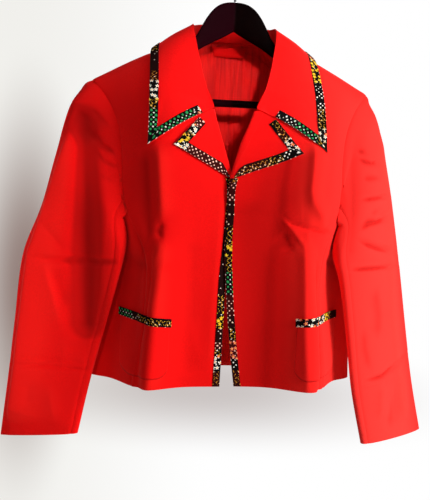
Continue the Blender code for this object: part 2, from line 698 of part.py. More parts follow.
def make_hanging_loop():
    """A short strip of the red cloth inside the back neck, bowed a little off the lining."""
    top_row = RISE[ROWS - 2]

    def place(s, t):
        bow = math.sin(math.pi * s)
        v = mix(top_row - 0.004, mix(top_row, 1, 0.75), t)
        end = across_back(0.44, v)
        room = (CLOTH + LINING_ROOM + LINING) / MM + 1.9 + 2.6 * bow
        return Vector((mix(end.x, -end.x, s), end.y, end.z)) - mm(0, room, 1.5 * bow)
    sheet("hanging_loop", 8, 1, place, RED, LINING)


def make_hanger_body():
    """The moulded arms: a rounded section whose height follows the outline, filled at both ends."""
    rows = [row._replace(x=-row.x) for row in reversed(HANGER[1:])] + HANGER
    around = 12
    grid = bmesh.new()
    bmesh.ops.create_grid(grid, x_segments=len(rows) - 1, y_segments=around, size=0.5)
    for point in grid.verts:
        row = rows[round((point.co.x + 0.5) * (len(rows) - 1))]
        angle = 2 * math.pi * round((point.co.y + 0.5) * around) / around
        side, up = math.cos(angle), math.sin(angle)
        wide = math.copysign(abs(side) ** 0.6, side) * HANGER_THICK / 2
        tall = math.copysign(abs(up) ** 0.6, up) * (row.top - row.bottom) / 2
        point.co = mm(row.x, row.y + wide, (row.top + row.bottom) / 2 + tall)
    bmesh.ops.remove_doubles(grid, verts=grid.verts, dist=1e-6)
    bmesh.ops.holes_fill(grid, edges=grid.edges)
    bmesh.ops.recalc_face_normals(grid, faces=grid.faces)
    mesh = bpy.data.meshes.new("hanger_body")
    grid.to_mesh(mesh)
    grid.free()
    finish(bpy.data.objects.new("hanger_body", mesh), PLASTIC, 0, 0)


def make_hanger_bar():
    bar = bmesh.new()
    bmesh.ops.create_cone(bar, cap_ends=True, segments=16, radius1=BAR_RADIUS * MM, radius2=BAR_RADIUS * MM,
                          depth=2 * BAR_END * MM)
    for point in bar.verts:
        point.co = Vector((point.co.z, point.co.y, -point.co.x + BAR_Z * MM))
    mesh = bpy.data.meshes.new("hanger_bar")
    bar.to_mesh(mesh)
    bar.free()
    finish(bpy.data.objects.new("hanger_bar", mesh), PLASTIC, 0, 0)


def make_hanger_hook():
    """A plain wire hook: a stem out of the crest and an arc whose inside top is the origin."""
    reach = HOOK_RADIUS + WIRE_RADIUS
    route = [mm(0, HANGER[0].y, HOOK_STEM), mm(0, HANGER[0].y - 1, HOOK_STEM + 4)]
    for k in range(22):
        angle = math.radians(mix(-84, 195, k / 21))
        route.append(mm(reach * math.cos(angle), 0, reach * math.sin(angle) - HOOK_RADIUS))
    wire = bpy.data.curves.new("hanger_hook", "CURVE")
    wire.dimensions = "3D"
    wire.bevel_depth = WIRE_RADIUS * MM
    wire.bevel_resolution = 2
    wire.use_fill_caps = True
    spline = wire.splines.new("POLY")
    spline.points.add(len(route) - 1)
    for point, at in zip(spline.points, route):
        point.co = (*at, 1)
    hook = bpy.data.objects.new("hanger_hook", wire)
    wire.materials.append(STEEL)
    COLLECTION.objects.link(hook)


make_hanger_body()
make_hanger_bar()
make_hanger_hook()
make_back()
make_side_panels()
make_fronts()
make_sleeves()
make_collar()
make_lapels()
make_pockets()
make_collar_trim()
make_lapel_trims()
make_front_trims()
make_back_lining()
make_hanging_loop()
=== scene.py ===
"""A red women's trachten jacket on a hanger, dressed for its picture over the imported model.

Units are metres. +Z is up, the viewer stands at -Y, and left and right are as the viewer sees them.
Tables are in millimetres, for the half at +X, unless their own words say otherwise.
"""

import math
from collections import namedtuple

import bmesh
import bpy
import numpy as np
from mathutils import Matrix, Vector


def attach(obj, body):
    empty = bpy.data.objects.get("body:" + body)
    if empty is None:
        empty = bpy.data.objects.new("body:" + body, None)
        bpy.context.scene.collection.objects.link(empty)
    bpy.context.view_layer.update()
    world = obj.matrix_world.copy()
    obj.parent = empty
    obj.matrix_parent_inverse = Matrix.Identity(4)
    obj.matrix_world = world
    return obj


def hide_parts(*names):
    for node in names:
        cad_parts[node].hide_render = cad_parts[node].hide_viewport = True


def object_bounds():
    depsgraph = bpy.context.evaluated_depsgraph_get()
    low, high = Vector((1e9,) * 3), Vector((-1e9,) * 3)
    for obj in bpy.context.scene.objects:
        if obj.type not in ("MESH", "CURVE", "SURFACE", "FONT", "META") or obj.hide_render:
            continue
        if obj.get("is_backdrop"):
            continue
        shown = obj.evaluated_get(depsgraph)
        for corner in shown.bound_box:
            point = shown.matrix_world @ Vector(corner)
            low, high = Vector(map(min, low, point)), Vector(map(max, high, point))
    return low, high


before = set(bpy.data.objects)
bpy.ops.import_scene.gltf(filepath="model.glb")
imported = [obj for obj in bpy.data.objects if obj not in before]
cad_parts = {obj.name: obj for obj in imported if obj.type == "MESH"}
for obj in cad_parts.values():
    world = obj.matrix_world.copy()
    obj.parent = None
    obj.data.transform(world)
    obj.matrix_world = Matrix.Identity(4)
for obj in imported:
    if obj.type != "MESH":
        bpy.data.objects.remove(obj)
CAD_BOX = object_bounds()

bl_info = {
    "name": "Trachten Jacket",
    "version": (1, 0, 0),
    "blender": (4, 5, 0),
    "location": "3D View > Sidebar > Jacket",
    "description": "Dresses a red trachten jacket on its hanger, with printed trim, lining and studio",
    "category": "Object",
}

MM = 0.001
SIDES = {"left": -1, "right": 1}

# Walls and the room between pieces
LINING_ROOM = 2.3 * MM
SEAM = 0.03 * MM
TRIM_LIFT = 0.35 * MM
# Inside the front, the cloth is wool as far as this from the middle, and satin beyond
FACING_EDGE = 95 * MM

# Places of the body's columns, from the front edge round to the centre back
U_MID, U_RIDGE, U_DIP, U_SEAM, U_FLANK, U_SIDE, U_BACK_SEAM = 0.16, 0.34, 0.40, 0.46, 0.54, 0.63, 0.78
U_BLADE, U_NECK, U_NAPE = 0.84, 0.90, 0.95

# The body below the underarm: one row for each level ring
Level = namedtuple("Level", "z edge_left edge_right edge_y lap ridge_x ridge_y seam_x seam_y "
                            "side_x side_y side_z back_x back_y centre_y")
LEVELS = [
    Level(-623, 12, 9, -88, 0, 119, -115, 141, -90, 204, -8, -622, 160, 55, 72),
    Level(-575, 11, 2, -88, 1, 117, -114, 137, -93, 202, -8, -575, 158, 56, 72),
    Level(-518, 10, -5, -88, 2, 112, -112, 127, -97, 198, -8, -518, 155, 57, 71),
    Level(-465, 9, -10, -87, 3, 105, -109, 125, -95, 194, -9, -468, 153, 57, 69),
    Level(-415, 6, -13, -87, 3.5, 101, -107, 136, -89, 190, -10, -432, 155, 55, 66),
    Level(-372, 4, -12, -86, 4, 104, -105, 156, -72, 186, -10, -405, 160, 50, 63),
]

# The chest and back above the underarm: one row for each section up to the shoulder seam
Yoke = namedtuple("Yoke", "edge_left edge_right edge_y edge_z lap ridge_x ridge_y ridge_z "
                          "arm_x arm_y arm_z back_x back_y back_z centre_y centre_z")
YOKES = [
    Yoke(4.5, -9, -84, -322, 4.5, 109, -103, -326, 163, -63, -333, 164, 45, -325, 62, -318),
    Yoke(28, 17, -79, -268, 1.5, 117, -96, -282, 165, -56, -291, 168, 39, -280, 61, -262),
    Yoke(43, 40, -67, -220, 0, 123, -79, -238, 171, -45, -249, 177, 30, -238, 60, -206),
    Yoke(62, 61, -36, -165, 0, 127, -50, -184, 187, -27, -211, 191, 18, -206, 59, -152),
    Yoke(70, 70, -13, -126, 0, 133, -16, -148, 206, -9, -186, 206, 8, -186, 58.5, -118),
    Yoke(72, 72, 0, -118, 0, 135, 0, -140, 211, 0, -180, 211, 0, -180, 58, -107),
]
NECK_CORNER = np.array((52, 42, -111)) * MM
ROWS = len(LEVELS) + len(YOKES)

# Fullness between the columns
MID_HOLLOW = (7, 7, 6, 4, 1, -2, -4, -5, -6, -5, -2, 0)
DIP_HOLLOW = (4, 4, 3, 1, -3, -6, -6, -6, -6, -4, -1, 0)
FLANK_HOLLOW = 6
BLADE_BEND = {ROWS - 3: 1.1, ROWS - 2: 1.6}

# The sleeve's rings: its outer and inner edges and how far the two faces stand off the line between them
Cuff = namedtuple("Cuff", "outer_x outer_y outer_z inner_x inner_y inner_z front back")
SLEEVES = {
    "left": [
        Cuff(233, 2, -214, 176, -42, -330, 26, 30),
        Cuff(255, 4, -290, 158, -71, -385, 24, 32),
        Cuff(276, 6, -368, 158, -77, -428, 18, 30),
        Cuff(304, 8, -444, 164, -78, -466, 13, 22),
        Cuff(314, 8, -545, 184, -70, -552, 12, 18),
        Cuff(321, 8, -625, 201, -60, -626, 12, 16),
        Cuff(331, 8, -722, 216, -50, -704, 12, 15),
    ],
    "right": [
        Cuff(217, 2, -206, 176, -42, -330, 26, 30),
        Cuff(240, 4, -280, 158, -71, -385, 24, 32),
        Cuff(261, 6, -356, 158, -77, -428, 18, 30),
        Cuff(280, 8, -444, 168, -78, -470, 13, 22),
        Cuff(297, 8, -545, 183, -70, -552, 12, 18),
        Cuff(311, 8, -625, 197, -60, -632, 12, 16),
        Cuff(330, 8, -708, 219, -50, -718, 12, 15),
    ],
}
SLEEVE_INNER = 0.41
SLEEVE_FRONT_SEAM = 0.345
SLEEVE_BACK_SEAM = 0.72
CROWN_SHIFT = 0.0357
# How far down the sleeve its rings lie, after the armhole's three, and how far the shoulder's tip stands out
SLEEVE_DROPS = [0, 0.025, 0.07, 0.15, 0.29, 0.43, 0.60, 0.78, 1]
SHOULDER_TIPS = {"left": (3.4, 0, 4.5), "right": (2.4, 0, 2.2)}
# Where the underarm and its front lie round the sleeve, and how wide they are
UNDERARM, UNDERARM_REACH, UNDERARM_FADE = 0.68, 0.18, 0.12
UNDERARM_FRONT, UNDERARM_FRONT_REACH = 0.40, 0.055
SLEEVE_ROWS = 180

# The collar's sections, from the gorge to the centre back
Section = namedtuple("Section", "seam_x seam_y seam_z fold_x fold_y fold_z outer_x outer_y outer_z")
COLLAR = [
    Section(42, -55, -215, 38.5, -71, -217, 130, -95, -276),
    Section(53, -40, -186, 49, -57, -186, 129, -84, -232),
    Section(61, -19, -152, 57, -36, -148, 128, -54, -182),
    Section(68.5, -1, -114, 64, -8, -94, 124, 0, -129.6),
    Section(60, 26, -110, 58, 26, -86, 108, 42, -136),
    Section(42, 45, -107, 40, 50, -80, 68, 72, -132),
    Section(0, 55, -105, 0, 60, -77, 0, 82, -128),
]
# how much nearer the middle each half's fold lies at the first sections than in the table
FOLD_OVER = {"left": [3.0, 3.2, 3.4, 1.0, 0, 0, 0], "right": [10.0, 6.4, 2.8, 0, 0, 0, 0]}
FOLD_ROUND = 3.0
FOLD_T = 0.30
COLLAR_KEYS = [0, 0.22, FOLD_T, 0.38, 0.70, 1]
NOTCH_X, NOTCH_Z = 57, -231

# The lapel: its roll line from the gorge to the break, and its point
Roll = namedtuple("Roll", "left_x right_x left_root right_root z")
ROLL = [Roll(37.5, 29, 40, 37, -219.5), Roll(32, 20.5, 33, 28, -241), Roll(24.5, 10, 25, 16, -265),
        Roll(13.5, -1, 13.5, 0, -299), Roll(7, -7, 7, -7, -320)]
ROLL_KEYS = [0, 0.25, 0.5, 0.83, 1]
LAPEL_KEYS = [0, 0.10, 0.17, 0.24]
LAPEL_POINTS = {"left": (93, -275), "right": (94, -281)}
LAPEL_LIFT = 4.2
LAPEL_END = 0.985
LAPEL_TRIM_END = 0.98

# The pockets: an inner and an outer edge, a mouth and a bottom
Pocket = namedtuple("Pocket", "inner outer inner_top outer_top bottom")
POCKETS = {"left": Pocket(91, 157, -522, -514, -607), "right": Pocket(96, 167, -516, -512, -606)}
POCKET_CORNER = 17
TRIM_OVERHANG = 2.2

# The hanger: its outline from the middle to the foot of the arm, and how far it comes forward
Arm = namedtuple("Arm", "x top bottom y")
HANGER = [
    Arm(0, -52, -96, 5), Arm(15, -54, -105, 3.4), Arm(30, -62, -113, 1.8), Arm(44, -80, -121, 0.4),
    Arm(56, -103, -129, -0.6), Arm(70, -122.4, -138, -0.4), Arm(100, -132.4, -153, 0), Arm(135, -144.4, -170, 0),
    Arm(167, -160.6, -190, 0), Arm(168, -161.2, -213, 0), Arm(184, -170.4, -213, 0), Arm(193, -176.0, -206, 0),
]
HANGER_THICK = 10.5
# The crest is one smooth curve as far as this, and passes into the table's outline over the last part
CREST_END, CREST_FADE, CREST_ROWS = 60, 15, 6
# The hanger's section is a slab with rounded borders: how square it is, and how tall its round border is
SLAB_POWER, SLAB_BORDER, SLAB_AROUND = 0.45, 5.0, 40
BAR_Z, BAR_RADIUS, BAR_END = -205, 5.6, 166.9
WIRE_RADIUS, HOOK_RADIUS, HOOK_STEM = 1.9, 21.0, -51.6
HOOK_FROM, HOOK_TO, HOOK_STEPS = -84, 195, 56

# Folds as seen from the front: points (x, z) in the picture's own left and right, how far each reaches to
# the left and to the right of its run, and its height, a trough being below zero
Fold = namedtuple("Fold", "points left right height")
LEFT_SLEEVE_FOLDS = [
    Fold([(-231, -214), (-223, -271), (-219, -360), (-215, -434), (-211, -509), (-209, -562)], 18, 28, -12),
    Fold([(-240, -258), (-247, -288), (-268, -366), (-293, -442), (-303, -545), (-310, -625), (-318, -700)], 5, 40, 9),
    Fold([(-206, -240), (-192, -300), (-184, -380), (-190, -470), (-200, -560)], 12, 12, 2.5),
    Fold([(-212, -222), (-194, -240), (-178, -254)], 6, 3, -3.4),
    Fold([(-216, -254), (-194, -278), (-172, -291)], 6, 3, -3.8),
    Fold([(-208, -282), (-188, -302), (-168, -311)], 5, 3, -2.8),
    Fold([(-196, -320), (-176, -332)], 5, 4, -1.6),
    Fold([(-294, -449), (-250, -450), (-204, -449), (-164, -447)], 3, 9, -3.0),
    Fold([(-290, -441), (-250, -441), (-204, -441), (-166, -440)], 3, 5, 1.6),
    Fold([(-272, -452), (-256, -500), (-243, -548)], 9, 5, 2.6),
    Fold([(-259, -462), (-240, -520)], 12, 10, -2.4),
    Fold([(-278, -392), (-252, -424), (-244, -440)], 9, 7, -1.8),
    Fold([(-314, -603), (-260, -600), (-202, -599)], 8, 2.5, 2.8),
    Fold([(-318, -611), (-260, -607), (-198, -605)], 2.5, 12, -3.6),
    Fold([(-288, -632), (-292, -672)], 12, 8, -1.8),
    Fold([(-259, -635), (-250, -690)], 10, 12, 1.9),
    Fold([(-236, -560), (-240, -604)], 8, 8, 1.3),
    Fold([(-306, -700), (-240, -694)], 10, 8, -0.9),
]
RIGHT_SLEEVE_FOLDS = [
    Fold([(190, -226), (181, -270), (180, -330), (178, -400), (176, -440)], 8, 16, -2.2),
    Fold([(226, -240), (238, -300), (247, -342), (256, -430), (264, -520), (277, -600), (290, -690)], 12, 12, 3.8),
    Fold([(190, -268), (204, -272)], 4, 4, -3.5),
    Fold([(192, -281), (214, -285), (228, -283)], 5, 2.5, -4.9),
    Fold([(194, -276), (214, -279), (228, -277)], 2.5, 5, 2.2),
    Fold([(198, -311), (222, -309), (234, -308)], 4, 6, -3.5),
    Fold([(195, -343), (222, -340), (248, -336)], 2.5, 6, -5.7),
    Fold([(195, -335), (222, -332), (246, -329)], 7, 3, 3.2),
    Fold([(210, -362), (232, -360), (250, -356)], 6, 6, -2.4),
    Fold([(196, -387), (210, -379), (222, -377), (247, -371)], 3, 7, -5.9),
    Fold([(218, -374), (232, -367), (248, -357)], 3, 6, 3.8),
    Fold([(193, -404), (210, -411), (227, -416), (266, -426)], 3, 9, -5.4),
    Fold([(195, -396), (226, -407), (264, -416)], 7, 4, 3.5),
    Fold([(179, -448), (225, -447), (273, -445)], 2, 9, -6.2),
    Fold([(179, -440), (225, -439), (273, -437)], 8, 2.5, 3.5),
    Fold([(207, -535), (213, -570), (226, -606)], 10, 6, -2.2),
    Fold([(226, -470), (238, -520), (236, -560)], 16, 12, -2.4),
    Fold([(216, -618), (232, -616), (248, -613), (270, -599), (296, -584)], 9, 2.5, -6.2),
    Fold([(216, -626), (248, -622), (272, -607), (297, -592)], 3, 9, 3.8),
    Fold([(248, -624), (247, -680)], 8, 10, 3.0),
    Fold([(272, -640), (268, -700)], 10, 8, -2.4),
    Fold([(288, -604), (296, -688)], 9, 8, 2.4),
]
LEFT_FRONT_FOLDS = [
    Fold([(-114, -272), (-109, -340), (-105, -384)], 9, 16, 5.5),
    Fold([(-105, -384), (-111, -398), (-106, -410)], 6, 6, -3.4),
    Fold([(-105, -412), (-112, -445), (-113, -525), (-119, -629)], 8, 14, 4.0),
    Fold([(-106, -400), (-113, -445), (-114, -525), (-120, -640)], 22, 24, 3.0),
    Fold([(-134, -280), (-128, -340), (-126, -400), (-134, -470), (-138, -600)], 14, 10, -3.0),
    Fold([(-150, -440), (-120, -452), (-90, -446)], 8, 8, -1.6),
    Fold([(-60, -400), (-55, -500), (-58, -610)], 22, 22, -1.6),
    Fold([(-36, -600), (-52, -560), (-58, -520)], 14, 10, 1.2),
    Fold([(-20, -330), (-26, -460), (-30, -600)], 12, 16, 2.0),
]
RIGHT_FRONT_FOLDS = [
    Fold([(109, -262), (104, -332), (107, -348), (130, -388)], 5, 14, 4.6),
    Fold([(111, -262), (106, -332), (109, -348), (130, -384)], 26, 20, 9.0),
    Fold([(74, -270), (60, -340), (62, -372)], 34, 24, -5.0),
    Fold([(148, -397), (128, -392), (109, -389), (80, -381), (64, -368)], 5, 2.5, -4.2),
    Fold([(146, -391), (130, -386), (112, -382)], 7, 3, 2.4),
    Fold([(66, -370), (82, -391), (101, -414)], 3, 9, 3.8),
    Fold([(68, -394), (84, -420)], 14, 5, -3.8),
    Fold([(99, -408), (101, -440), (103, -470), (107, -540), (114, -624)], 7, 12, 4.0),
    Fold([(98, -398), (101, -430), (104, -470), (108, -540), (115, -640)], 34, 20, 8.5),
    Fold([(56, -350), (50, -424), (48, -470), (48, -540), (48, -640)], 60, 34, -5.0),
    Fold([(114, -420), (122, -440), (118, -470)], 6, 6, 1.6),
    Fold([(140, -430), (158, -445), (176, -448)], 8, 6, -1.6),
    Fold([(104, -389), (106, -410)], 4, 5, 1.4),
]
BACK_FOLDS = [
    Fold([(-118, -200), (-96, -300), (-86, -420), (-92, -600)], 20, 14, 2.6),
    Fold([(-70, -300), (-60, -430), (-62, -610)], 16, 16, -2.2),
    Fold([(112, -210), (92, -310), (88, -430), (98, -605)], 14, 22, 2.4),
    Fold([(66, -280), (54, -420), (60, -600)], 16, 14, -2.4),
    Fold([(-34, -360), (-26, -480), (-34, -615)], 14, 12, 1.4),
    Fold([(30, -340), (34, -470), (26, -612)], 12, 12, 1.2),
    Fold([(-150, -330), (-118, -362), (-84, -372)], 7, 5, -1.8),
    Fold([(152, -322), (120, -350), (92, -356)], 6, 6, -1.6),
    Fold([(-140, -446), (-80, -452), (-22, -448)], 3, 8, -1.2),
    Fold([(16, -446), (70, -455), (138, -447)], 3, 9, -1.4),
    Fold([(-56, -128), (0, -136), (52, -127)], 6, 6, -0.8),
]
SLEEVE_BACK_FOLDS = [
    Fold([(205, -230), (190, -262), (178, -300)], 6, 9, -2.2),
    Fold([(222, -236), (205, -280), (198, -330)], 7, 9, 1.8),
    Fold([(268, -430), (230, -441), (190, -446)], 8, 3, -2.4),
    Fold([(270, -422), (232, -432), (194, -438)], 4, 8, 1.4),
    Fold([(262, -462), (236, -478), (204, -480)], 7, 4, -1.6),
    Fold([(292, -606), (252, -610), (212, -607)], 3, 9, -2.2),
    Fold([(240, -490), (252, -560), (266, -640), (274, -700)], 14, 10, 1.6),
    Fold([(216, -500), (226, -580), (240, -690)], 12, 12, -1.6),
]
COLLAR_FOLDS = [
    Fold([(-118, -140), (-112, -200), (-104, -244)], 20, 16, 0.9),
    Fold([(-84, -150), (-76, -210)], 16, 16, -0.8),
    Fold([(-60, -196), (-78, -226), (-96, -238)], 8, 8, -0.7),
    Fold([(112, -150), (108, -206), (102, -250)], 18, 18, 0.9),
    Fold([(78, -140), (80, -200)], 18, 14, -0.9),
    Fold([(60, -205), (80, -232)], 8, 8, -0.6),
    Fold([(-70, -265), (-42, -285)], 9, 9, 0.5),
    Fold([(70, -268), (36, -282)], 9, 9, 0.5),
]
# The seam that runs down each front from the armhole to the hem, drawn on the right one
PRINCESS = [(158, -366), (157, -374), (147, -397), (135, -417), (127, -440), (125, -473), (126, -510), (132, -560),
            (142, -624)]

# The print along each strip of trim, from its own start: how far each ground reaches, and what is on it
PRINTS = {
    "white blossom": ((1, 0.3, 0), (0, 0, 0)),
    "yellow blossom": ((1, 0.3, 0), (0, 0, 1)),
    "coral blossom": ((0.8, 0.5, 0), (0, 1, 0)),
    "green dots": ((0, 1.1, 0), (1, 0, 0)),
    "grey dots": ((0, 0.75, 0), (0, 0, 0)),
    "pink dots": ((0, 1.0, 0), (0, 1, 0)),
    "gold lines": ((0, 0.35, 0.8), (0, 0, 0.8)),
    "orange lines": ((0, 0.38, 0.8), (0, 0.6, 0.4)),
    "dark": ((0, 0.30, 0), (0, 0.3, 0.3)),
}
COLLAR_PRINTS = {
    "left": [(9, "white blossom"), (122, "green dots"), (134, "gold lines"), (142, "yellow blossom"),
             (172, "white blossom"), (190, "orange lines"), (240, "dark"), (300, "gold lines"),
             (340, "white blossom"), (500, "green dots")],
    "right": [(26, "grey dots"), (70, "green dots"), (84, "gold lines"), (104, "white blossom"),
              (134, "gold lines"), (182, "grey dots"), (236, "yellow blossom"), (290, "coral blossom"),
              (340, "gold lines"), (500, "pink dots")],
}
LAPEL_PRINTS = {
    "left": [(13, "pink dots"), (26, "white blossom"), (36, "gold lines"), (48, "yellow blossom"),
             (60, "white blossom"), (200, "pink dots")],
    "right": [(14, "gold lines"), (36, "orange lines"), (54, "white blossom"), (78, "grey dots"),
              (100, "gold lines"), (200, "orange lines")],
}
FRONT_PRINTS = {
    "left": [(21, "orange lines"), (46, "white blossom"), (56, "gold lines"), (66, "pink dots"), (86, "dark"),
             (110, "yellow blossom"), (134, "gold lines"), (190, "dark"), (240, "grey dots"), (400, "gold lines")],
    "right": [(24, "orange lines"), (41, "grey dots"), (70, "coral blossom"), (88, "gold lines"), (106, "dark"),
              (135, "pink dots"), (170, "green dots"), (192, "gold lines"), (208, "yellow blossom"),
              (236, "gold lines"), (272, "dark"), (300, "pink dots"), (400, "orange lines")],
}
POCKET_PRINTS = {
    "left": [(34, "green dots"), (50, "dark"), (200, "gold lines")],
    "right": [(18, "dark"), (30, "gold lines"), (52, "yellow blossom"), (200, "white blossom")],
}

# The slot named for each cloth
SLOTS = {"wool": "red_wool", "satin": "satin_lining", "print": "printed_cotton"}
# What shows of each sheet's cut: its width and length, and its flat area in square centimetres. A piece with no
# row of its own has that of its pair.
CUTS = {
    "front": (205, 520, 770), "side_panel": (185, 255, 433), "back": (430, 525, 1725),
    "upper_sleeve": (215, 560, 1045), "under_sleeve": (120, 430, 356), "collar": (790, 92, 523),
    "lapel_left": (115, 98, 54), "lapel_right": (128, 104, 70),
    "pocket_left": (108, 90, 90), "pocket_right": (120, 88, 101),
    "collar_trim": (800, 13, 104), "front_trim": (306, 10.5, 32),
    "lapel_trim_left": (125, 13, 15), "lapel_trim_right": (140, 13, 17.5),
    "pocket_trim_left": (114, 12, 13), "pocket_trim_right": (130, 12, 15),
    "back_lining": (400, 500, 1460), "hanging_loop": (56, 14, 7.4),
}


def tone(code):
    """A colour written as on the screen, #RRGGBB, turned into the light that it stands for."""
    parts = [int(code[k:k + 2], 16) / 255 for k in (1, 3, 5)]
    return tuple(part / 12.92 if part <= 0.04045 else ((part + 0.055) / 1.055) ** 2.4 for part in parts)


def length_setting(name, text, default, least):
    """A length, given here in millimetres."""
    return bpy.props.FloatProperty(name=name, description=text, default=default * MM, min=least * MM, unit="LENGTH")


def colour_setting(name, text, code):
    return bpy.props.FloatVectorProperty(name=name, description=text, default=tone(code), subtype="COLOR")


def power_setting(name, text, watts):
    return bpy.props.FloatProperty(name=name, description=text, default=watts, min=0.0, unit="POWER")


class JacketSizes(bpy.types.PropertyGroup):
    """Sizes that a user would change without changing the cut."""
    cloth: length_setting("Wool thickness", "How thick the red wool is", 1.8, 0.8)
    collar_cloth: length_setting("Collar thickness", "How thick the collar is", 2.0, 0.8)
    pocket_cloth: length_setting("Pocket thickness", "How far a pocket stands off the front", 1.4, 0.5)
    lining: length_setting("Lining thickness", "How thick the satin is", 0.8, 0.4)
    trim: length_setting("Trim thickness", "How thick the printed strips are", 0.7, 0.4)
    collar_trim: length_setting("Collar trim width", "Width of the strips on the collar and lapels", 13.0, 5.0)
    front_trim: length_setting("Front trim width", "Width of the strips down the front edges", 10.5, 5.0)
    pocket_trim: length_setting("Pocket trim width", "Width of the strips over the pockets", 12.0, 5.0)
    creasing: bpy.props.FloatProperty(
        name="Creasing", description="How deep the folds and creases are, against those in the picture",
        default=1.0, min=0.0, max=1.5, subtype="FACTOR")


class JacketColours(bpy.types.PropertyGroup):
    """Colours of the cloth, the trim and the hanger."""
    wool: colour_setting("Wool", "The red of the fulled wool", "#E80A0A")
    # the deeper red is also, darkened, the painted shade in the folds' troughs
    wool_deep_and_fold_shade: colour_setting("Wool, deep", "The red between the fibres", "#D20605")
    satin: colour_setting("Satin", "The red of the lining", "#DC100B")
    ground: colour_setting("Trim ground", "The black ground of the print", "#070404")
    leaf: colour_setting("Trim green", "The green blots of the print", "#278F4E")
    blossom: colour_setting("Trim white", "The white of blossoms and dots", "#F4EFE6")
    gold: colour_setting("Trim gold", "The gold of the lines", "#F0B42C")
    coral: colour_setting("Trim coral", "The coral of dots and blossoms", "#F0705A")
    plastic: colour_setting("Hanger", "The dark plastic of the hanger", "#060101")
    steel: colour_setting("Hook", "The steel of the hook", "#C4C4C8")


class StudioSettings(bpy.types.PropertyGroup):
    """The light and the ground round the jacket."""
    key: power_setting("Key light", "Power of the big soft light at the right", 67.0)
    fill: power_setting("Fill light", "Power of the weak light from above at the left", 8.0)
    window: power_setting("Window light", "Power of the light from the side, at the right", 5.0)
    neck: power_setting("Neck light", "Power of the narrow light into the neck", 0.11)
    sleeve: power_setting("Sleeve light", "Power of the narrow upright light on the left sleeve", 0.18)
    wall: colour_setting("Backdrop", "The pale ground behind the jacket", "#FFFFFF")
    wall_shade: colour_setting("Backdrop shade", "The backdrop where the jacket shades it", "#7C5E56")
    floor: colour_setting("Floor", "The pale floor", "#E4E0DC")


def sizes():
    return bpy.context.scene.jacket_sizes


# ---- Surfaces of the cut, each reckoned at many places at once ----

def mix(a, b, share):
    return a + (b - a) * share


def shares(start, end, count):
    return np.linspace(start, end, count + 1)


def unit(vectors):
    return vectors / np.maximum(np.linalg.norm(vectors, axis=-1, keepdims=True), 1e-12)


def mm(x, y, z):
    return np.stack(np.broadcast_arrays(x, y, z), axis=-1) * MM


def smooth(keys, points, at):
    """A curve through the points, each reached at its own key. The points may differ from place to place."""
    keys = np.asarray(keys, float)
    points = np.asarray(points, float)
    at = np.clip(at, keys[0], keys[-1])
    low = np.clip(np.searchsorted(keys, at, side="right") - 1, 0, len(keys) - 2)
    places = np.arange(at.size)

    def pick(k):
        return points[k] if points.ndim == 2 else points[k, places]

    def slope(k):
        before, after = np.maximum(k - 1, 0), np.minimum(k + 1, len(keys) - 1)
        return (pick(after) - pick(before)) / (keys[after] - keys[before])[:, None]

    step = (keys[low + 1] - keys[low])[:, None]
    t = (at - keys[low])[:, None] / step
    return (pick(low) * (2 * t**3 - 3 * t**2 + 1) + pick(low + 1) * (3 * t**2 - 2 * t**3)
            + slope(low) * step * (t**3 - 2 * t**2 + t) + slope(low + 1) * step * (t**3 - t**2))


def between(a, b, hollow):
    """The point midway between two columns, pushed back by the hollow."""
    return mix(a, b, 0.5) + mm(0, hollow, 0)


def front_columns(side, k):
    """The front's columns on row k, from the edge to the seam or armhole."""
    if k < len(LEVELS):
        row = LEVELS[k]
        edge_z = ridge_z = row.z
        seam = mm(row.seam_x, row.seam_y, row.z)
    else:
        row = YOKES[k - len(LEVELS)]
        edge_z, ridge_z = row.edge_z, row.ridge_z
        seam = mm(row.arm_x, row.arm_y, row.arm_z)
    edge = mm(getattr(row, "edge_" + side), row.edge_y - SIDES[side] * row.lap, edge_z)
    ridge = mm(row.ridge_x, row.ridge_y, ridge_z)
    return [edge, between(edge, ridge, MID_HOLLOW[k]), ridge, between(ridge, seam, DIP_HOLLOW[k]), seam]


def back_columns(k):
    """The back's columns on row k, from the back seam or armhole to the centre."""
    if k < len(LEVELS):
        row = LEVELS[k]
        start, end = mm(row.back_x, row.back_y, row.z), mm(0, row.centre_y, row.z)
    else:
        row = YOKES[k - len(LEVELS)]
        start, end = mm(row.back_x, row.back_y, row.back_z), mm(0, row.centre_y, row.centre_z)
    if k == ROWS - 1:
        return [start, mm(135, 0, -140), mm(72, 0, -118), NECK_CORNER, end]
    columns = [start]
    for share in (0.28, 0.54, 0.78):
        rise = math.sin(share * math.pi / 2) ** BLADE_BEND.get(k, 0.8)
        columns.append(np.array((mix(start[0], end[0], share), mix(start[1], end[1], rise),
                                 mix(start[2], end[2], share))))
    return columns + [end]


FRONT_U = [0, U_MID, U_RIDGE, U_DIP, U_SEAM]
BACK_U = [U_BACK_SEAM, U_BLADE, U_NECK, U_NAPE, 1]


def rises():
    """How far up the body each row is, as a share of the way up the armhole's side, and one row past the top."""
    steps = [np.linalg.norm(front_columns("left", k)[-1] - front_columns("left", k - 1)[-1]) for k in range(1, ROWS)]
    rise = np.concatenate(([0], np.cumsum(steps))) / sum(steps)
    return np.append(rise, 2 - rise[-2])


RISE = rises()
V_UNDERARM = RISE[len(LEVELS) - 1]


def ring_columns(side, k, part):
    """The keys and columns of row k: a whole ring, or the front's or the back's part."""
    if k >= len(LEVELS):
        return (FRONT_U, front_columns(side, k)) if part == 0 else (BACK_U, back_columns(k))
    row = LEVELS[k]
    side_point = mm(row.side_x, row.side_y, row.side_z)
    seam = mm(row.seam_x, row.seam_y, (row.z + row.side_z) / 2)
    flank = between(seam, side_point, FLANK_HOLLOW) - mm(3, 0, 0)
    return FRONT_U + [U_FLANK, U_SIDE] + BACK_U, front_columns(side, k) + [flank, side_point] + back_columns(k)


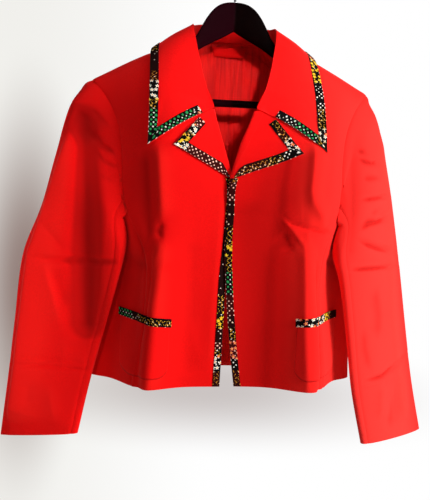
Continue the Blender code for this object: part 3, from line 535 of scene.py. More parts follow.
COLUMNS = {(side, k, part): ring_columns(side, k, part) for side in SIDES for k in range(ROWS) for part in (0, 1)}


def beyond(side, part):
    """A row past the top, which makes the cloth level over the shoulder seam and upright at the back neck."""
    keys, low = COLUMNS[side, ROWS - 2, part]
    top = COLUMNS[side, ROWS - 1, part][1]
    turned = [point * (1, -1, 1) for point in low]
    straight = [2 * high - point for high, point in zip(top, low)]
    return keys, [bent if k < 3 or part == 0 else plain for k, (bent, plain) in enumerate(zip(turned, straight))]


COLUMNS.update({(side, ROWS, part): beyond(side, part) for side in SIDES for part in (0, 1)})


def body(side, u, v):
    """Points of the body's outer face: u runs round from the front edge, v up from the hem."""
    u, v = (np.array(values, float) for values in np.broadcast_arrays(u, v))
    found = np.empty((u.size, 3))
    for part, chosen, count in ((0, u <= U_SEAM, ROWS), (1, (u > U_SEAM) & (u < U_BACK_SEAM), len(LEVELS)),
                                (1, u >= U_BACK_SEAM, ROWS)):
        if not chosen.any():
            continue
        last = count + (count == ROWS)
        rows = np.stack([smooth(*COLUMNS[side, k, part], u[chosen]) for k in range(last)])
        if part and count == ROWS:
            rows[ROWS - 1, :, 1] = np.maximum(rows[ROWS - 1, :, 1], 0)
        found[chosen] = smooth(RISE[:last], rows, np.clip(v[chosen], 0, RISE[count - 1]))
    return found * (SIDES[side], 1, 1)


def outward(surface, u, v, sign):
    """The surface's normals, pointing away from the body."""
    h = 0.004
    across = surface(np.minimum(u + h, 1), v) - surface(np.maximum(u - h, 0), v)
    along = surface(u, np.minimum(v + h, 1)) - surface(u, np.maximum(v - h, 0))
    return unit(np.cross(across, along)) * sign


def find(surface, x, z, v, top_u, top_v):
    """The u and v at which the surface has this x and z, found by Newton's steps from a first guess."""
    h = 1e-3
    guesses = shares(0, top_u, 12)
    u = guesses[np.stack([abs(surface(np.full_like(v, guess), v)[:, 0] - x) for guess in guesses]).argmin(0)]
    for _ in range(7):
        right, left, up, down, here = np.split(surface(
            np.concatenate((np.minimum(u + h, 1), np.maximum(u - h, 0), u, u, u)),
            np.concatenate((v, v, np.minimum(v + h, 1), np.maximum(v - h, 0), v))), 5)
        du, dv = (right - left) / (2 * h), (up - down) / (2 * h)
        turn = du[:, 0] * dv[:, 2] - du[:, 2] * dv[:, 0]
        turn = np.where(abs(turn) < 1e-9, 1e-9, turn)
        gap_x, gap_z = x - here[:, 0], z - here[:, 2]
        step_u = (gap_x * dv[:, 2] - gap_z * dv[:, 0]) / turn
        step_v = (du[:, 0] * gap_z - du[:, 2] * gap_x) / turn
        u = np.clip(u + np.clip(step_u, -0.05, 0.05), 0, top_u)
        v = np.clip(v + np.clip(step_v, -0.1, 0.1), 0, top_v)
    return u, v


def on_front(side, x, z, lift, top_u=U_SEAM):
    """Points over the front's outer face, its folds included, at this x and z, moved out by the lift."""
    def surface(u, v):
        return body(side, u, v)
    x, z, lift = (np.array(values, float) for values in np.broadcast_arrays(x, z, lift))
    top_v = 1.0 if top_u <= U_SEAM else V_UNDERARM
    hem, neck = LEVELS[0].z, YOKES[-1].edge_z
    u, v = find(surface, x, z, np.minimum((z / MM - hem) / (neck - hem), top_v), top_u, top_v)
    return folded_body(side, u, v, lift)


# ---- Folds ----

def fold_height(points, folds):
    """How far the folds push each point out, in metres, from its x and z and each fold's own run."""
    x, z = points[..., 0] / MM, points[..., 2] / MM
    height = np.zeros(x.shape)
    for fold in folds:
        run = np.array(fold.points, float)
        lengths = np.linalg.norm(np.diff(run, axis=0), axis=1)
        whole = lengths.sum()
        nearest = np.full(x.shape, 1e9)
        side = np.zeros(x.shape)
        along = np.zeros(x.shape)
        passed = 0.0
        for (ax, az), (bx, bz), length in zip(run, run[1:], lengths):
            dx, dz = (bx - ax) / length, (bz - az) / length
            share = np.clip((x - ax) * dx + (z - az) * dz, 0, length)
            away_x, away_z = x - ax - share * dx, z - az - share * dz
            far = np.hypot(away_x, away_z)
            closer = far < nearest
            nearest = np.where(closer, far, nearest)
            side = np.where(closer, away_x * dz - away_z * dx, side)
            along = np.where(closer, passed + share, along)
            passed += length
        # a run that goes down has its right at +x when it is seen from the front, and a fold fades toward both
        # of its ends over 6 to 25 mm
        reach = np.where(side < 0, fold.right, fold.left)
        ends = np.minimum(along, whole - along) / max(min(0.30 * whole, 25), 6)
        height += fold.height * np.exp(-(nearest / reach) ** 1.5) * np.clip(0.15 + ends, 0, 1)
    return height * MM * sizes().creasing


def seam_height(points, run, depth=0.7, width=1.5):
    """A sewn seam: a fine groove with the cloth a little raised on both sides of it."""
    groove = fold_height(points, [Fold(run, width, width, -depth)])
    return groove + fold_height(points, [Fold(run, width * 4, width * 4, depth * 0.45)])


def mirrored(folds):
    return [Fold([(-x, z) for x, z in fold.points], fold.right, fold.left, fold.height) for fold in folds]


def front_height(side, points):
    """What the front's folds and its long seam add, fading out at the neck and the front edge."""
    folds = LEFT_FRONT_FOLDS if side == "left" else RIGHT_FRONT_FOLDS
    run = [(x * SIDES[side], z) for x, z in PRINCESS]
    facing = np.clip((-20 - points[..., 1] / MM) / 30, 0, 1)
    return (fold_height(points, folds) + seam_height(points, run)) * facing


def folded_body(side, u, v, lift):
    """The body's outer face with its folds, at u and v, moved out by the lift."""
    points = body(side, u, v)
    normals = outward(lambda a, b: body(side, a, b), u, v, SIDES[side])
    return points + normals * (front_height(side, points) + lift)[:, None]


# ---- Sheets of cloth ----

def inset(share, width):
    """A share from 0 to 1 drawn in from both ends, to leave the seam's room on a panel of this width."""
    room = SEAM / width
    return room + share * (1 - 2 * room)


def eased(share, amount):
    """A share whose steps are small near both ends, where the cloth turns into its seams."""
    return share - amount * np.sin(2 * np.pi * share) / (2 * np.pi)


def normals_of(points, sign):
    across, along = np.gradient(points, axis=1), np.gradient(points, axis=0)
    return unit(np.cross(across, along)) * sign


def roll_in(points, edges, depth=0.9, reach=2.6):
    """How far the cloth dips where it turns into the seams on the named edges of its grid."""
    dip = np.zeros(points.shape[:2])
    for edge, axis, first in (("start", 1, True), ("end", 1, False), ("low", 0, True), ("high", 0, False)):
        if edge in edges:
            steps = np.linalg.norm(np.diff(points, axis=axis), axis=-1)
            far = np.cumsum(steps if first else np.flip(steps, axis), axis=axis)
            far = np.insert(far, 0, 0, axis=axis)
            far = far if first else np.flip(far, axis)
            dip = np.minimum(dip, -depth * np.exp(-(far / MM / reach) ** 2))
    return dip * MM


def lengths_along(points):
    """How far each point lies from the first one, along the run."""
    return np.concatenate(([0], np.cumsum(np.linalg.norm(np.diff(points, axis=0), axis=1))))


def grid_mesh(name, points, flip):
    """A fine grid moved onto the points, and the row and the column of each of its vertices."""
    rows, columns = points.shape[:2]
    grid = bmesh.new()
    bmesh.ops.create_grid(grid, x_segments=columns - 1, y_segments=rows - 1, size=0.5)
    if flip:
        bmesh.ops.reverse_faces(grid, faces=grid.faces)
    mesh = bpy.data.meshes.new(name)
    grid.to_mesh(mesh)
    grid.free()
    flat = np.empty(len(mesh.vertices) * 3)
    mesh.vertices.foreach_get("co", flat)
    flat = flat.reshape(-1, 3)
    column = np.rint((flat[:, 0] + 0.5) * (columns - 1)).astype(int)
    row = np.rint((flat[:, 1] + 0.5) * (rows - 1)).astype(int)
    mesh.vertices.foreach_set("co", points[row, column].ravel())
    return mesh, row, column


def lay_prints(mesh, print_rows, far, whole):
    """The print's figures and tints along a strip, reckoned from its one end or from both."""
    for label, part in (("figures", 0), ("tints", 1)):
        ends = []
        for prints, reached in ((print_rows[0], far), (print_rows[-1], whole - far)):
            zone = np.searchsorted([upto for upto, _ in prints[:-1]], reached)
            ends.append(np.array([PRINTS[kind][part] for _, kind in prints], float)[zone])
        values = np.where((far < whole / 2)[:, None], *ends) if len(print_rows) > 1 else ends[0]
        mesh.attributes.new(label, "FLOAT_VECTOR", "POINT").data.foreach_set("vector", values.ravel())


def smooth_faces(mesh):
    mesh.polygons.foreach_set("use_smooth", np.ones(len(mesh.polygons), dtype=bool))


def piece(name, data, stands_for, slot):
    """An object in place of a node of the frame, whose imported part it hides; its slot is not used."""
    made = bpy.data.objects.new(name, data)
    bpy.context.scene.collection.objects.link(made)
    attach(made, "root")
    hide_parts(stands_for)
    return made


def soften(made, name, width, angle):
    """A soft rim on the edges that turn by more than this angle."""
    rim = made.modifiers.new(name, "BEVEL")
    rim.width = width * MM
    rim.segments = 2
    rim.limit_method = "ANGLE"
    rim.angle_limit = math.radians(angle)


def sheet(node, cloth, points, wall, flip=False, offset=-1.0, height=None, lined=False,
          facing=None, print_rows=None, rim=0.35, painted_fold_light_gain=1.0):
    """A cloth piece: a fine grid on its solid's form, pushed out by its folds, given a wall and a soft rim.

    It stands for the node of this name. The wall is one of the thicknesses among the sizes. A facing says
    which faces of a lined piece have wool on their inside too.
    """
    if height is not None:
        points = points + normals_of(points, -1 if flip else 1) * height[..., None]
    name = node + "_" + cloth
    mesh, row, column = grid_mesh(name, points, flip)
    across, along = lengths_along(points[len(points) // 2]), lengths_along(points[:, points.shape[1] // 2])
    corner = np.empty(len(mesh.loops), dtype=int)
    mesh.loops.foreach_get("vertex_index", corner)
    places = np.stack((across[column], along[row]), axis=-1)
    mesh.uv_layers.new(name="UVMap").data.foreach_set("uv", places[corner].ravel())
    # the folds' height is kept on each vertex, scaled by the gain, for the wool to paint shade in the troughs and
    # highlight on the crests
    if height is not None:
        creased = mesh.attributes.new("creased", "FLOAT", "POINT")
        creased.data.foreach_set("value", (height[row, column] * painted_fold_light_gain / MM).astype(np.float32))
    if print_rows is not None:
        lay_prints(mesh, print_rows, across[column] / MM, across[-1] / MM)
    for finish in (cloth, "satin", cloth, cloth) if facing else (cloth, "satin") if lined else (cloth,):
        mesh.materials.append(finish_of(finish))
    if facing:
        centres = np.empty(len(mesh.polygons) * 3)
        mesh.polygons.foreach_get("center", centres)
        indices = np.where(facing(centres.reshape(-1, 3)), 2, 0)
        mesh.polygons.foreach_set("material_index", indices.astype(np.int32))
    smooth_faces(mesh)
    mesh.update()
    made = piece(name, mesh, node, SLOTS[cloth])
    thickness = made.modifiers.new("Wall", "SOLIDIFY")
    thickness.thickness = getattr(sizes(), wall)
    thickness.offset = offset
    thickness.use_quality_normals = True
    thickness.material_offset = 1 if lined else 0
    soften(made, "Soft rim", rim, 60)
    width, length, area = CUTS.get(node) or CUTS[node.rpartition("_")[0]]


def grid_of(place, across, along):
    """The points of a surface on an even grid of shares from 0 to 1."""
    s, t = np.meshgrid(shares(0, 1, across), shares(0, 1, along))
    return place(s.ravel(), t.ravel()).reshape(along + 1, across + 1, 3)


# ---- Finishes ----

class Nodes:
    """A node tree, with a short call for each kind of node that the finishes use."""

    def __init__(self, tree):
        self.tree = tree

    def join(self, socket, value):
        """A socket given a value, or joined to another node's socket."""
        if isinstance(value, bpy.types.NodeSocket):
            self.tree.links.new(value, socket)
        else:
            socket.default_value = value

    def add(self, kind, sockets=(), **settings):
        """A node with its settings, and its sockets given values or joined to other nodes' sockets."""
        node = self.tree.nodes.new("ShaderNode" + kind)
        for name, value in settings.items():
            setattr(node, name, value)
        for name, value in dict(sockets).items():
            self.join(node.inputs[name], value)
        return node

    def calc(self, operation, *values):
        """One step of arithmetic on numbers or sockets."""
        return self.add("Math", enumerate(values), operation=operation).outputs[0]

    def plus(self, a, b):
        return self.calc("ADD", a, b)

    def minus(self, a, b):
        return self.calc("SUBTRACT", a, b)

    def times(self, a, b):
        return self.calc("MULTIPLY", a, b)

    def blend(self, share, a, b):
        """Two colours mixed by a share."""
        return self.add("Mix", {0: share, 6: a, 7: b}, data_type="RGBA").outputs[2]

    def ramp(self, value, low, high):
        """A number brought to 0 at low and 1 at high."""
        return self.add("MapRange", {"Value": value, "From Min": low, "From Max": high},
                        interpolation_type="SMOOTHSTEP").outputs[0]

    def place(self, kind="Object"):
        """Where a point lies, from the piece's origin or on its UV map."""
        return self.add("TexCoord").outputs[kind]

    def split(self, vector):
        return self.add("SeparateXYZ", {0: vector}).outputs

    def attribute(self, name, output):
        return self.add("Attribute", attribute_name=name).outputs[output]

    def noise(self, place, scale, detail, dimensions="3D", **sockets):
        """Noise with this many spots to the metre."""
        return self.add("TexNoise", {"Vector": place, "Scale": scale, "Detail": detail, **sockets},
                        noise_dimensions=dimensions).outputs[0]

    def stretched(self, place, scale):
        return self.add("Mapping", {"Vector": place, "Scale": scale}).outputs[0]

    def bump(self, strength, distance, height, **under):
        return self.add("Bump", {"Strength": strength, "Distance": distance, "Height": height, **under}).outputs[0]


class Finish(Nodes):
    """A new material, whose shader starts from these values."""

    def __init__(self, name, **sockets):
        self.made = bpy.data.materials.new(name)
        self.made.use_nodes = True
        super().__init__(self.made.node_tree)
        self.give(**sockets)

    def give(self, **sockets):
        """The material, with its shader's sockets given values or joined to nodes."""
        shader = self.tree.nodes["Principled BSDF"]
        for label, value in sockets.items():
            self.join(shader.inputs[label.replace("_", " ")], value)
        return self.made


def rgba(colour, gain=1.0):
    return tuple(part * gain for part in colour) + (1.0,)


def fulled_wool():
    """Fulled wool: a dense short nap that hides the weave, a soft bloom at grazing light, and colour that is
    painted a little paler on the crests of folds and creases and deeper in their troughs: painted highlight and
    painted shade."""
    colours = bpy.context.scene.jacket_colours
    wool = Finish("fulled red wool", Roughness=0.85, Sheen_Weight=0.32, Sheen_Roughness=0.45,
                  Sheen_Tint=(1.0, 0.14, 0.12, 1.0), Specular_IOR_Level=0.06)
    place, creased = wool.place(), wool.attribute("creased", "Fac")
    # clumps of fibre about 2 mm across, single fibres about 0.5 mm, and uneven dye in patches some 60 mm wide
    clumps, fibres, patches = (wool.noise(place, *row) for row in ((420.0, 4.0), (2100.0, 2.0), (16.0, 2.0)))
    depth = wool.ramp(wool.calc("MULTIPLY_ADD", clumps, 0.9, 0.05), 0.28, 0.72)
    tint = wool.blend(wool.calc("MULTIPLY_ADD", depth, 0.5, 0.5), rgba(colours.wool_deep_and_fold_shade), rgba(colours.wool))
    tint = wool.blend(wool.ramp(patches, 0.35, 0.70), tint, rgba(colours.wool, 0.93))
    # painted glare: the front is painted a little paler toward its right sleeve, where the window light at the right
    # washes it out
    x, y, _ = wool.split(place)
    painted_window_glare = wool.times(wool.ramp(x, 0.03, 0.31), wool.ramp(y, 0.03, -0.03))
    # over the nap's colour: the painted glare, painted shade in the troughs of folds and seams, darker in the deepest
    # ones, and a painted highlight on the crests
    for share, most, colour in ((painted_window_glare, 0.46, rgba(tone("#FF524A"))),
                                (wool.ramp(creased, -0.2, -4.0), 0.60, rgba(colours.wool_deep_and_fold_shade, 0.55)),
                                (wool.ramp(creased, -5.0, -11.0), 0.45, rgba(colours.wool_deep_and_fold_shade, 0.35)),
                                (wool.ramp(creased, 0.4, 5.0), 0.14, rgba(tone("#FF3024")))):
        tint = wool.blend(wool.times(share, most), tint, colour)
    height = wool.plus(wool.times(clumps, 0.6), wool.times(fibres, 0.4))
    return wool.give(Base_Color=tint, Normal=wool.bump(0.14, 0.0005, height))


def lining_satin():
    """Satin lining: close smooth threads with a sheen, drawn into fine upright wrinkles 4 to 12 mm apart."""
    colours = bpy.context.scene.jacket_colours
    satin = Finish("red satin lining", Roughness=0.48, Specular_IOR_Level=0.05)
    place = satin.place()
    wrinkles = satin.noise(satin.stretched(place, (150.0, 150.0, 13.0)), 1.0, 3.0, Distortion=0.6)
    grain = satin.noise(satin.stretched(place, (2600.0, 2600.0, 900.0)), 1.0, 1.0)
    # the satin is painted darker in the troughs of its wrinkles: painted shade
    tint = satin.blend(satin.ramp(wrinkles, 0.35, 0.62), rgba(colours.satin, 0.78), rgba(colours.satin))
    drawn = satin.bump(0.55, 0.0022, wrinkles)
    return satin.give(Base_Color=tint, Normal=satin.bump(0.2, 0.0002, grain, Normal=drawn))


def printed_cotton():
    """Black plain-weave cotton with a small traditional print: rows of dots, blossoms and wavy gold lines.

    The piece's UV map gives metres along and across the strip, and its two attributes say which of the
    figures a stretch has and how they are tinted.
    """
    colours = bpy.context.scene.jacket_colours
    cotton = Finish("black printed cotton", Roughness=0.85, Specular_IOR_Level=0.06)
    calc, plus, minus, times = cotton.calc, cotton.plus, cotton.minus, cotton.times
    ramp, blend = cotton.ramp, cotton.blend
    uv = cotton.place("UV")
    along, across, _ = cotton.split(uv)
    figures, tints = (cotton.split(cotton.attribute(name, "Vector")) for name in ("figures", "tints"))
    # the hand of the print wanders by half a millimetre
    drift = times(minus(cotton.noise(uv, 240.0, 1.0, "2D"), 0.5), 0.0016)
    x, y = plus(along, drift), minus(across, drift)

    # rows of dots on the slant, 5 mm apart; a stretch keeps the share of them that its figures say
    pitches = [calc("DIVIDE", plus(slant, 1.0), 0.0070) for slant in (plus(x, y), minus(x, y))]
    from_middle = [calc("POWER", minus(calc("FRACT", pitch), 0.5), 2.0) for pitch in pitches]
    steps = [calc("FLOOR", pitch) for pitch in pitches]
    cell = cotton.add("CombineXYZ", enumerate(steps)).outputs[0]
    drawn = cotton.add("TexWhiteNoise", {"Vector": cell}, noise_dimensions="2D").outputs["Value"]
    other = calc("FRACT", times(drawn, 37.0))
    # every second dot of a green stretch is a green blot
    leaf = times(times(calc("FRACT", times(plus(*steps), 0.5)), 2.0), tints[0])
    edge = plus(calc("MULTIPLY_ADD", other, 0.09, 0.15), times(leaf, 0.13))
    kept = calc("LESS_THAN", drawn, times(figures[1], 0.9))
    dots = times(ramp(minus(calc("SQRT", plus(*from_middle)), edge), 0.04, -0.04), kept)

    # blossoms with five petals, 6 mm wide, strewn about 8 mm apart, one in five of them coral
    spot = cotton.add("TexVoronoi", {"Vector": uv, "Scale": 125.0, "Randomness": 0.7},
                      voronoi_dimensions="2D").outputs
    local = cotton.add("VectorMath", {0: uv, 1: spot["Position"]}, operation="SUBTRACT").outputs[0]
    petal = cotton.split(local)
    turn = calc("ARCTAN2", petal[1], petal[0])
    width = calc("MULTIPLY_ADD", calc("COSINE", times(turn, 5.0)), 0.0009, 0.0022)
    out = cotton.add("VectorMath", {0: local}, operation="LENGTH").outputs["Value"]
    petals = times(ramp(minus(out, width), 0.0002, -0.0002), figures[0])
    eye = times(ramp(out, 0.0011, 0.0008), figures[0])
    chosen = cotton.split(spot["Color"])[0]

    # two wavy gold lines that cross, 1 mm wide and broken here and there
    wave = times(calc("SINE", times(x, 480.0)), 0.0042)
    middle = minus(y, 0.0062)
    first, second = calc("ABSOLUTE", minus(middle, wave)), calc("ABSOLUTE", plus(middle, times(wave, 0.7)))
    line = times(ramp(calc("MINIMUM", first, second), 0.0007, 0.0003), figures[2])
    line = times(line, ramp(cotton.noise(uv, 330.0, 0.0, "2D"), 0.44, 0.52))

    white, gold, coral = rgba(colours.blossom), rgba(colours.gold), rgba(colours.coral)
    pale = blend(tints[1], white, rgba(tone("#FFC2B0")))
    pale = blend(times(tints[2], calc("GREATER_THAN", other, 0.4)), pale, gold)
    pale = blend(leaf, pale, rgba(colours.leaf))
    flower = blend(calc("GREATER_THAN", chosen, 0.8), white, coral)
    flower = blend(tints[1], flower, coral)
    flower = blend(tints[2], flower, rgba(tone("#F6CB2A")))
    stroke = blend(tints[1], gold, rgba(tone("#F08A3C")))
    # a painted highlight along the strip's folded edge: it is painted a little paler there
    painted_edge_highlight = times(ramp(across, 0.0007, 0.0002), 0.1)
    tint = blend(times(tints[1], 0.16), rgba(colours.ground), rgba(tone("#7A1410")))
    for share, colour in ((line, stroke), (dots, pale), (petals, flower), (eye, gold),
                          (painted_edge_highlight, rgba(tone("#8C6A60")))):
        tint = blend(share, tint, colour)
    # plain weave at 0.5 mm
    weave = times(*(calc("SINE", times(way, 12500.0)) for way in (along, across)))
    return cotton.give(Base_Color=tint, Normal=cotton.bump(0.25, 0.00012, weave))


def dark_plastic():
    """Moulded plastic, satin: a fine mould grain of 0.3 mm, with scuffed spots that are a little rougher."""
    colours = bpy.context.scene.jacket_colours
    plastic = Finish("dark moulded plastic", Roughness=0.30, Specular_IOR_Level=0.004)
    place = plastic.place()
    grain, wear = plastic.noise(place, 3200.0, 1.0), plastic.noise(place, 70.0, 4.0)
    tint = plastic.blend(plastic.ramp(wear, 0.45, 0.75), rgba(colours.plastic), rgba(colours.plastic, 1.6))
    # its left arm is painted a little paler: a painted reflection of the pale wall to its left
    tint = plastic.blend(plastic.ramp(plastic.split(place)[0], 0.002, -0.002), tint, rgba(tone("#1A0308")))
    rough = plastic.add("MapRange", {"Value": wear, "To Min": 0.24, "To Max": 0.42}).outputs[0]
    return plastic.give(Base_Color=tint, Roughness=rough, Normal=plastic.bump(0.12, 0.0001, grain))


def drawn_steel():
    """Bright drawn wire: fine streaks along its run, and a few dull spots where it has slid on a rail."""
    colours = bpy.context.scene.jacket_colours
    steel = Finish("bright steel wire", Roughness=0.22, Metallic=1.0)
    place = steel.place()
    dull, streaks = steel.noise(place, 160.0, 5.0), steel.noise(place, 1400.0, 2.0)
    tint = steel.blend(steel.ramp(dull, 0.5, 0.75), rgba(colours.steel), rgba(colours.steel, 0.7))
    rough = steel.add("MapRange", {"Value": dull, "To Min": 0.16, "To Max": 0.36}).outputs[0]
    return steel.give(Base_Color=tint, Roughness=rough, Normal=steel.bump(0.1, 0.0001, streaks))


FINISHES = {"wool": fulled_wool, "satin": lining_satin, "print": printed_cotton, "plastic": dark_plastic,
            "steel": drawn_steel}
READY = {}


def finish_of(name):
    """The named finish, made once."""
    if name not in READY:
        READY[name] = FINISHES[name]()
    return READY[name]


# ---- Body ----

def make_front(side):
    def place(s, t):
        return body(side, U_SEAM * inset(eased(s, 0.3), 0.15), inset(t, 0.5))
    points = grid_of(place, across=104, along=180)
    sheet("front_" + side, "wool", points, "cloth", flip=side == "left", lined=True,
          height=front_height(side, points) + roll_in(points, ("end",), 0.8),
          facing=lambda centres: centres[:, 0] * SIDES[side] < FACING_EDGE)


def make_side_panel(side):
    """The panel under the arm, with soft folds that run down from the underarm."""
    def place(s, t):
        return body(side, mix(U_SEAM, U_BACK_SEAM, inset(s, 0.11)), V_UNDERARM * inset(t, 0.25))
    points = grid_of(place, across=60, along=80)
    s, t = shares(0, 1, 60), shares(0, 1, 80)[:, None]
    waves = 1.6 * np.exp(-((s - 0.38) / 0.08) ** 2) - 1.8 * np.exp(-((s - 0.52 - 0.06 * t) / 0.11) ** 2)
    waves = waves + 1.5 * np.exp(-((s - 0.76 + 0.05 * t) / 0.10) ** 2)
    waves = waves - 1.2 * np.exp(-((t - 0.72 - 0.1 * s) / 0.05) ** 2)
    height = waves * np.sin(np.pi * s) * MM + front_height(side, points)
    sheet("side_panel_" + side, "wool", points, "cloth", flip=side == "left", lined=True,
          height=height + roll_in(points, ("start", "end"), 0.8))


def across_back(s, t):
    """The back from the left back seam to the right one, as a share across and a share up."""
    left = s < 0.5
    u = mix(1, U_BACK_SEAM, abs(2 * s - 1))
    found = body("right", u, t)
    found[left, 0] *= -1
    return found


def make_back():
    def place(s, t):
        return across_back(inset(s, 0.42), inset(t, 0.5))
    points = grid_of(place, across=140, along=160)
    folds = fold_height(points, BACK_FOLDS)
    folds += seam_height(points, [(0, -108), (0, -300), (0, -470), (0, -624)])
    fade = np.clip((points[..., 1] / MM - 6) / 25, 0, 1)
    sheet("back", "wool", points, "cloth", flip=True, lined=True,
          height=folds * fade + roll_in(points, ("start", "end"), 0.8))


# ---- Sleeves ----

def armhole(side):
    """The armhole's points, from the shoulder down the front, under the arm and up the back, with their keys."""
    down, over = shares(1, V_UNDERARM, 12), shares(U_SEAM, U_BACK_SEAM, 12)
    points = np.concatenate((body(side, U_SEAM, down[:-1]), body(side, over[:-1], V_UNDERARM),
                             body(side, U_BACK_SEAM, down[::-1])))
    lengths = lengths_along(points)
    return points, lengths / lengths[-1]


def clear_of_body(side, points, room):
    """The same points, moved out where they would come nearer than this to the body's side."""
    levels = np.array([row.z for row in LEVELS]) * MM
    inside = (points[:, 2] > levels[0]) & (points[:, 2] < levels[-1] - 4 * MM)
    if not inside.any():
        return points
    held, room = points[inside], room[inside]
    v = np.interp(held[:, 2], levels, RISE[:len(LEVELS)])
    ring = np.stack([body(side, u, v) for u in shares(0.36, 0.86, 20)])[..., :2]
    start, run = ring[:-1], np.diff(ring, axis=0)
    share = np.clip(((held[:, :2] - start) * run).sum(-1) / (run * run).sum(-1), 0, 1)
    near = start + run * share[..., None]
    normal = unit(np.stack((run[..., 1], -run[..., 0]), axis=-1)) * SIDES[side]
    away = held[:, :2] - near
    best = (np.linalg.norm(away, axis=-1)).argmin(0), np.arange(len(held))
    stand = (away[best] * normal[best]).sum(-1)
    moved = near[best] + normal[best] * (room * MM)[:, None]
    held[:, :2] = np.where((stand >= room * MM)[:, None], held[:, :2], moved)
    result = points.copy()
    result[inside] = held
    return result


def sleeve_surface(side):
    """The sleeve as a function of the share round it from the shoulder and the share down it."""
    hole, hole_keys = armhole(side)
    sign = SIDES[side]

    def ring(row, s):
        first = s <= SLEEVE_INNER
        angle = np.pi * np.where(first, s / SLEEVE_INNER, 1 + (s - SLEEVE_INNER) / (1 - SLEEVE_INNER))
        outer, inner = mm(row.outer_x, row.outer_y, row.outer_z), mm(row.inner_x, row.inner_y, row.inner_z)
        line = unit(outer - inner)
        face = unit(np.array((line[1], -line[0], 0)))
        stand = np.where(angle <= np.pi, row.front, row.back)
        # the left sleeve hangs with its outer part flat to the front, the right one stays round
        power = np.where((side == "left") & (angle < np.pi / 2), 0.5, 0.8)
        lift = np.copysign(abs(np.sin(angle)) ** power, np.sin(angle)) * stand * MM
        return mix(inner, outer, ((1 + np.cos(angle)) / 2)[:, None]) + face * lift[:, None]

    def surface(s, t):
        under = np.clip((UNDERARM_REACH - abs(s - UNDERARM)) / UNDERARM_FADE, 0, 1)
        front = np.exp(-((s - UNDERARM_FRONT) / UNDERARM_FRONT_REACH) ** 2)
        start = smooth(hole_keys, hole, s)
        # the sleeve's seam allowance lies just inside the body
        start = np.stack((start[:, 0] * sign - 0.6 * MM, start[:, 1], start[:, 2]), axis=-1)
        # at the front of the underarm the sleeve comes forward over the body before it drops
        flare = mm(mix(mix(2.2, 3.5, under), -0.2, front), -1.0 * front, mix(mix(-0.4, -0.8, under), -2.6, front))
        points = [start, start + flare, start + flare * 2] + [ring(row, s) for row in SLEEVES[side][1:]]
        head = np.clip(1.5 - np.minimum(s, 1 - s) / 0.20, 0, 1)[:, None]
        crown = ring(SLEEVES[side][0], s)
        points[1] = mix(points[1], mix(start, crown, 0.35) + mm(*SHOULDER_TIPS[side]), head)
        points[2] = mix(points[2], crown, head)
        under = under[:, None]
        points[3] = mix(points[3], start + flare * 3.5, 0.8 * under)
        points[4] = mix(points[4], start + flare * 8, 0.3 * under)
        found = smooth(SLEEVE_DROPS, np.stack(points), t) * (sign, 1, 1)
        return clear_of_body(side, found, mix(0.6, 4.6, np.minimum(t / 0.12, 1)))
    return surface


def sleeve_height(side, points, normals):
    """The sleeve's folds: those of the picture on its front, others of the same kind on its back."""
    front = np.clip(-normals[..., 1] / 0.35 + 0.3, 0, 1)
    back = np.clip(normals[..., 1] / 0.35 + 0.3, 0, 1)
    seen = fold_height(points, LEFT_SLEEVE_FOLDS if side == "left" else RIGHT_SLEEVE_FOLDS)
    hidden = fold_height(points, SLEEVE_BACK_FOLDS if side == "right" else mirrored(SLEEVE_BACK_FOLDS))
    return seen * front + hidden * back


def make_sleeve(side):
    sign = SIDES[side]
    surface = sleeve_surface(side)

    def upper(s, t):
        share = inset(s, 0.2)
        round_it = mix(SLEEVE_BACK_SEAM - 1, SLEEVE_FRONT_SEAM, share) + CROWN_SHIFT * np.sin(np.pi * share)
        return surface(round_it % 1.0, 1 - t)

    def under(s, t):
        return surface(mix(SLEEVE_FRONT_SEAM, SLEEVE_BACK_SEAM, inset(s, 0.1)), 1 - t)
    for label, place, across in (("upper", upper, 96), ("under", under, 50)):
        points = grid_of(place, across, SLEEVE_ROWS)
        normals = normals_of(points, -sign)
        # the folds die out at the sleeve's head, where the cloth is eased into the armhole
        fade = np.clip((1 - shares(0, 1, SLEEVE_ROWS)) / 0.06, 0, 1)[:, None]
        height = sleeve_height(side, points, normals) * fade + roll_in(points, ("start", "end", "high"), 0.7)
        sheet(label + "_sleeve_" + side, "wool", points, "cloth", flip=sign > 0, lined=True, height=height)


# ---- Collar and lapels ----

def clear_of_front(side, points, lift):
    """The same points, brought forward where they would sink into the front."""
    low = (points[:, 2] <= -125 * MM) & (abs(points[:, 0]) >= 30 * MM)
    if not low.any():
        return points
    held = points[low]
    floor = on_front(side, held[:, 0], held[:, 2], 0)
    over = (abs(floor[:, 0] - held[:, 0]) <= 3 * MM) & (abs(floor[:, 2] - held[:, 2]) <= 3 * MM)
    held[:, 1] = np.where(over, np.minimum(held[:, 1], floor[:, 1] - lift[low]), held[:, 1])
    result = points.copy()
    result[low] = held
    return result


def kink(end, notch, corner, share):
    """How far the edge from end to corner bends away from a straight line to pass the notch."""
    whole = corner - end
    at = (((notch - end) * whole).sum(-1) / (whole * whole).sum(-1))
    off = notch - mix(end, corner, at[:, None])
    return off * np.where(share < at, share / at, (1 - share) / (1 - at))[:, None]


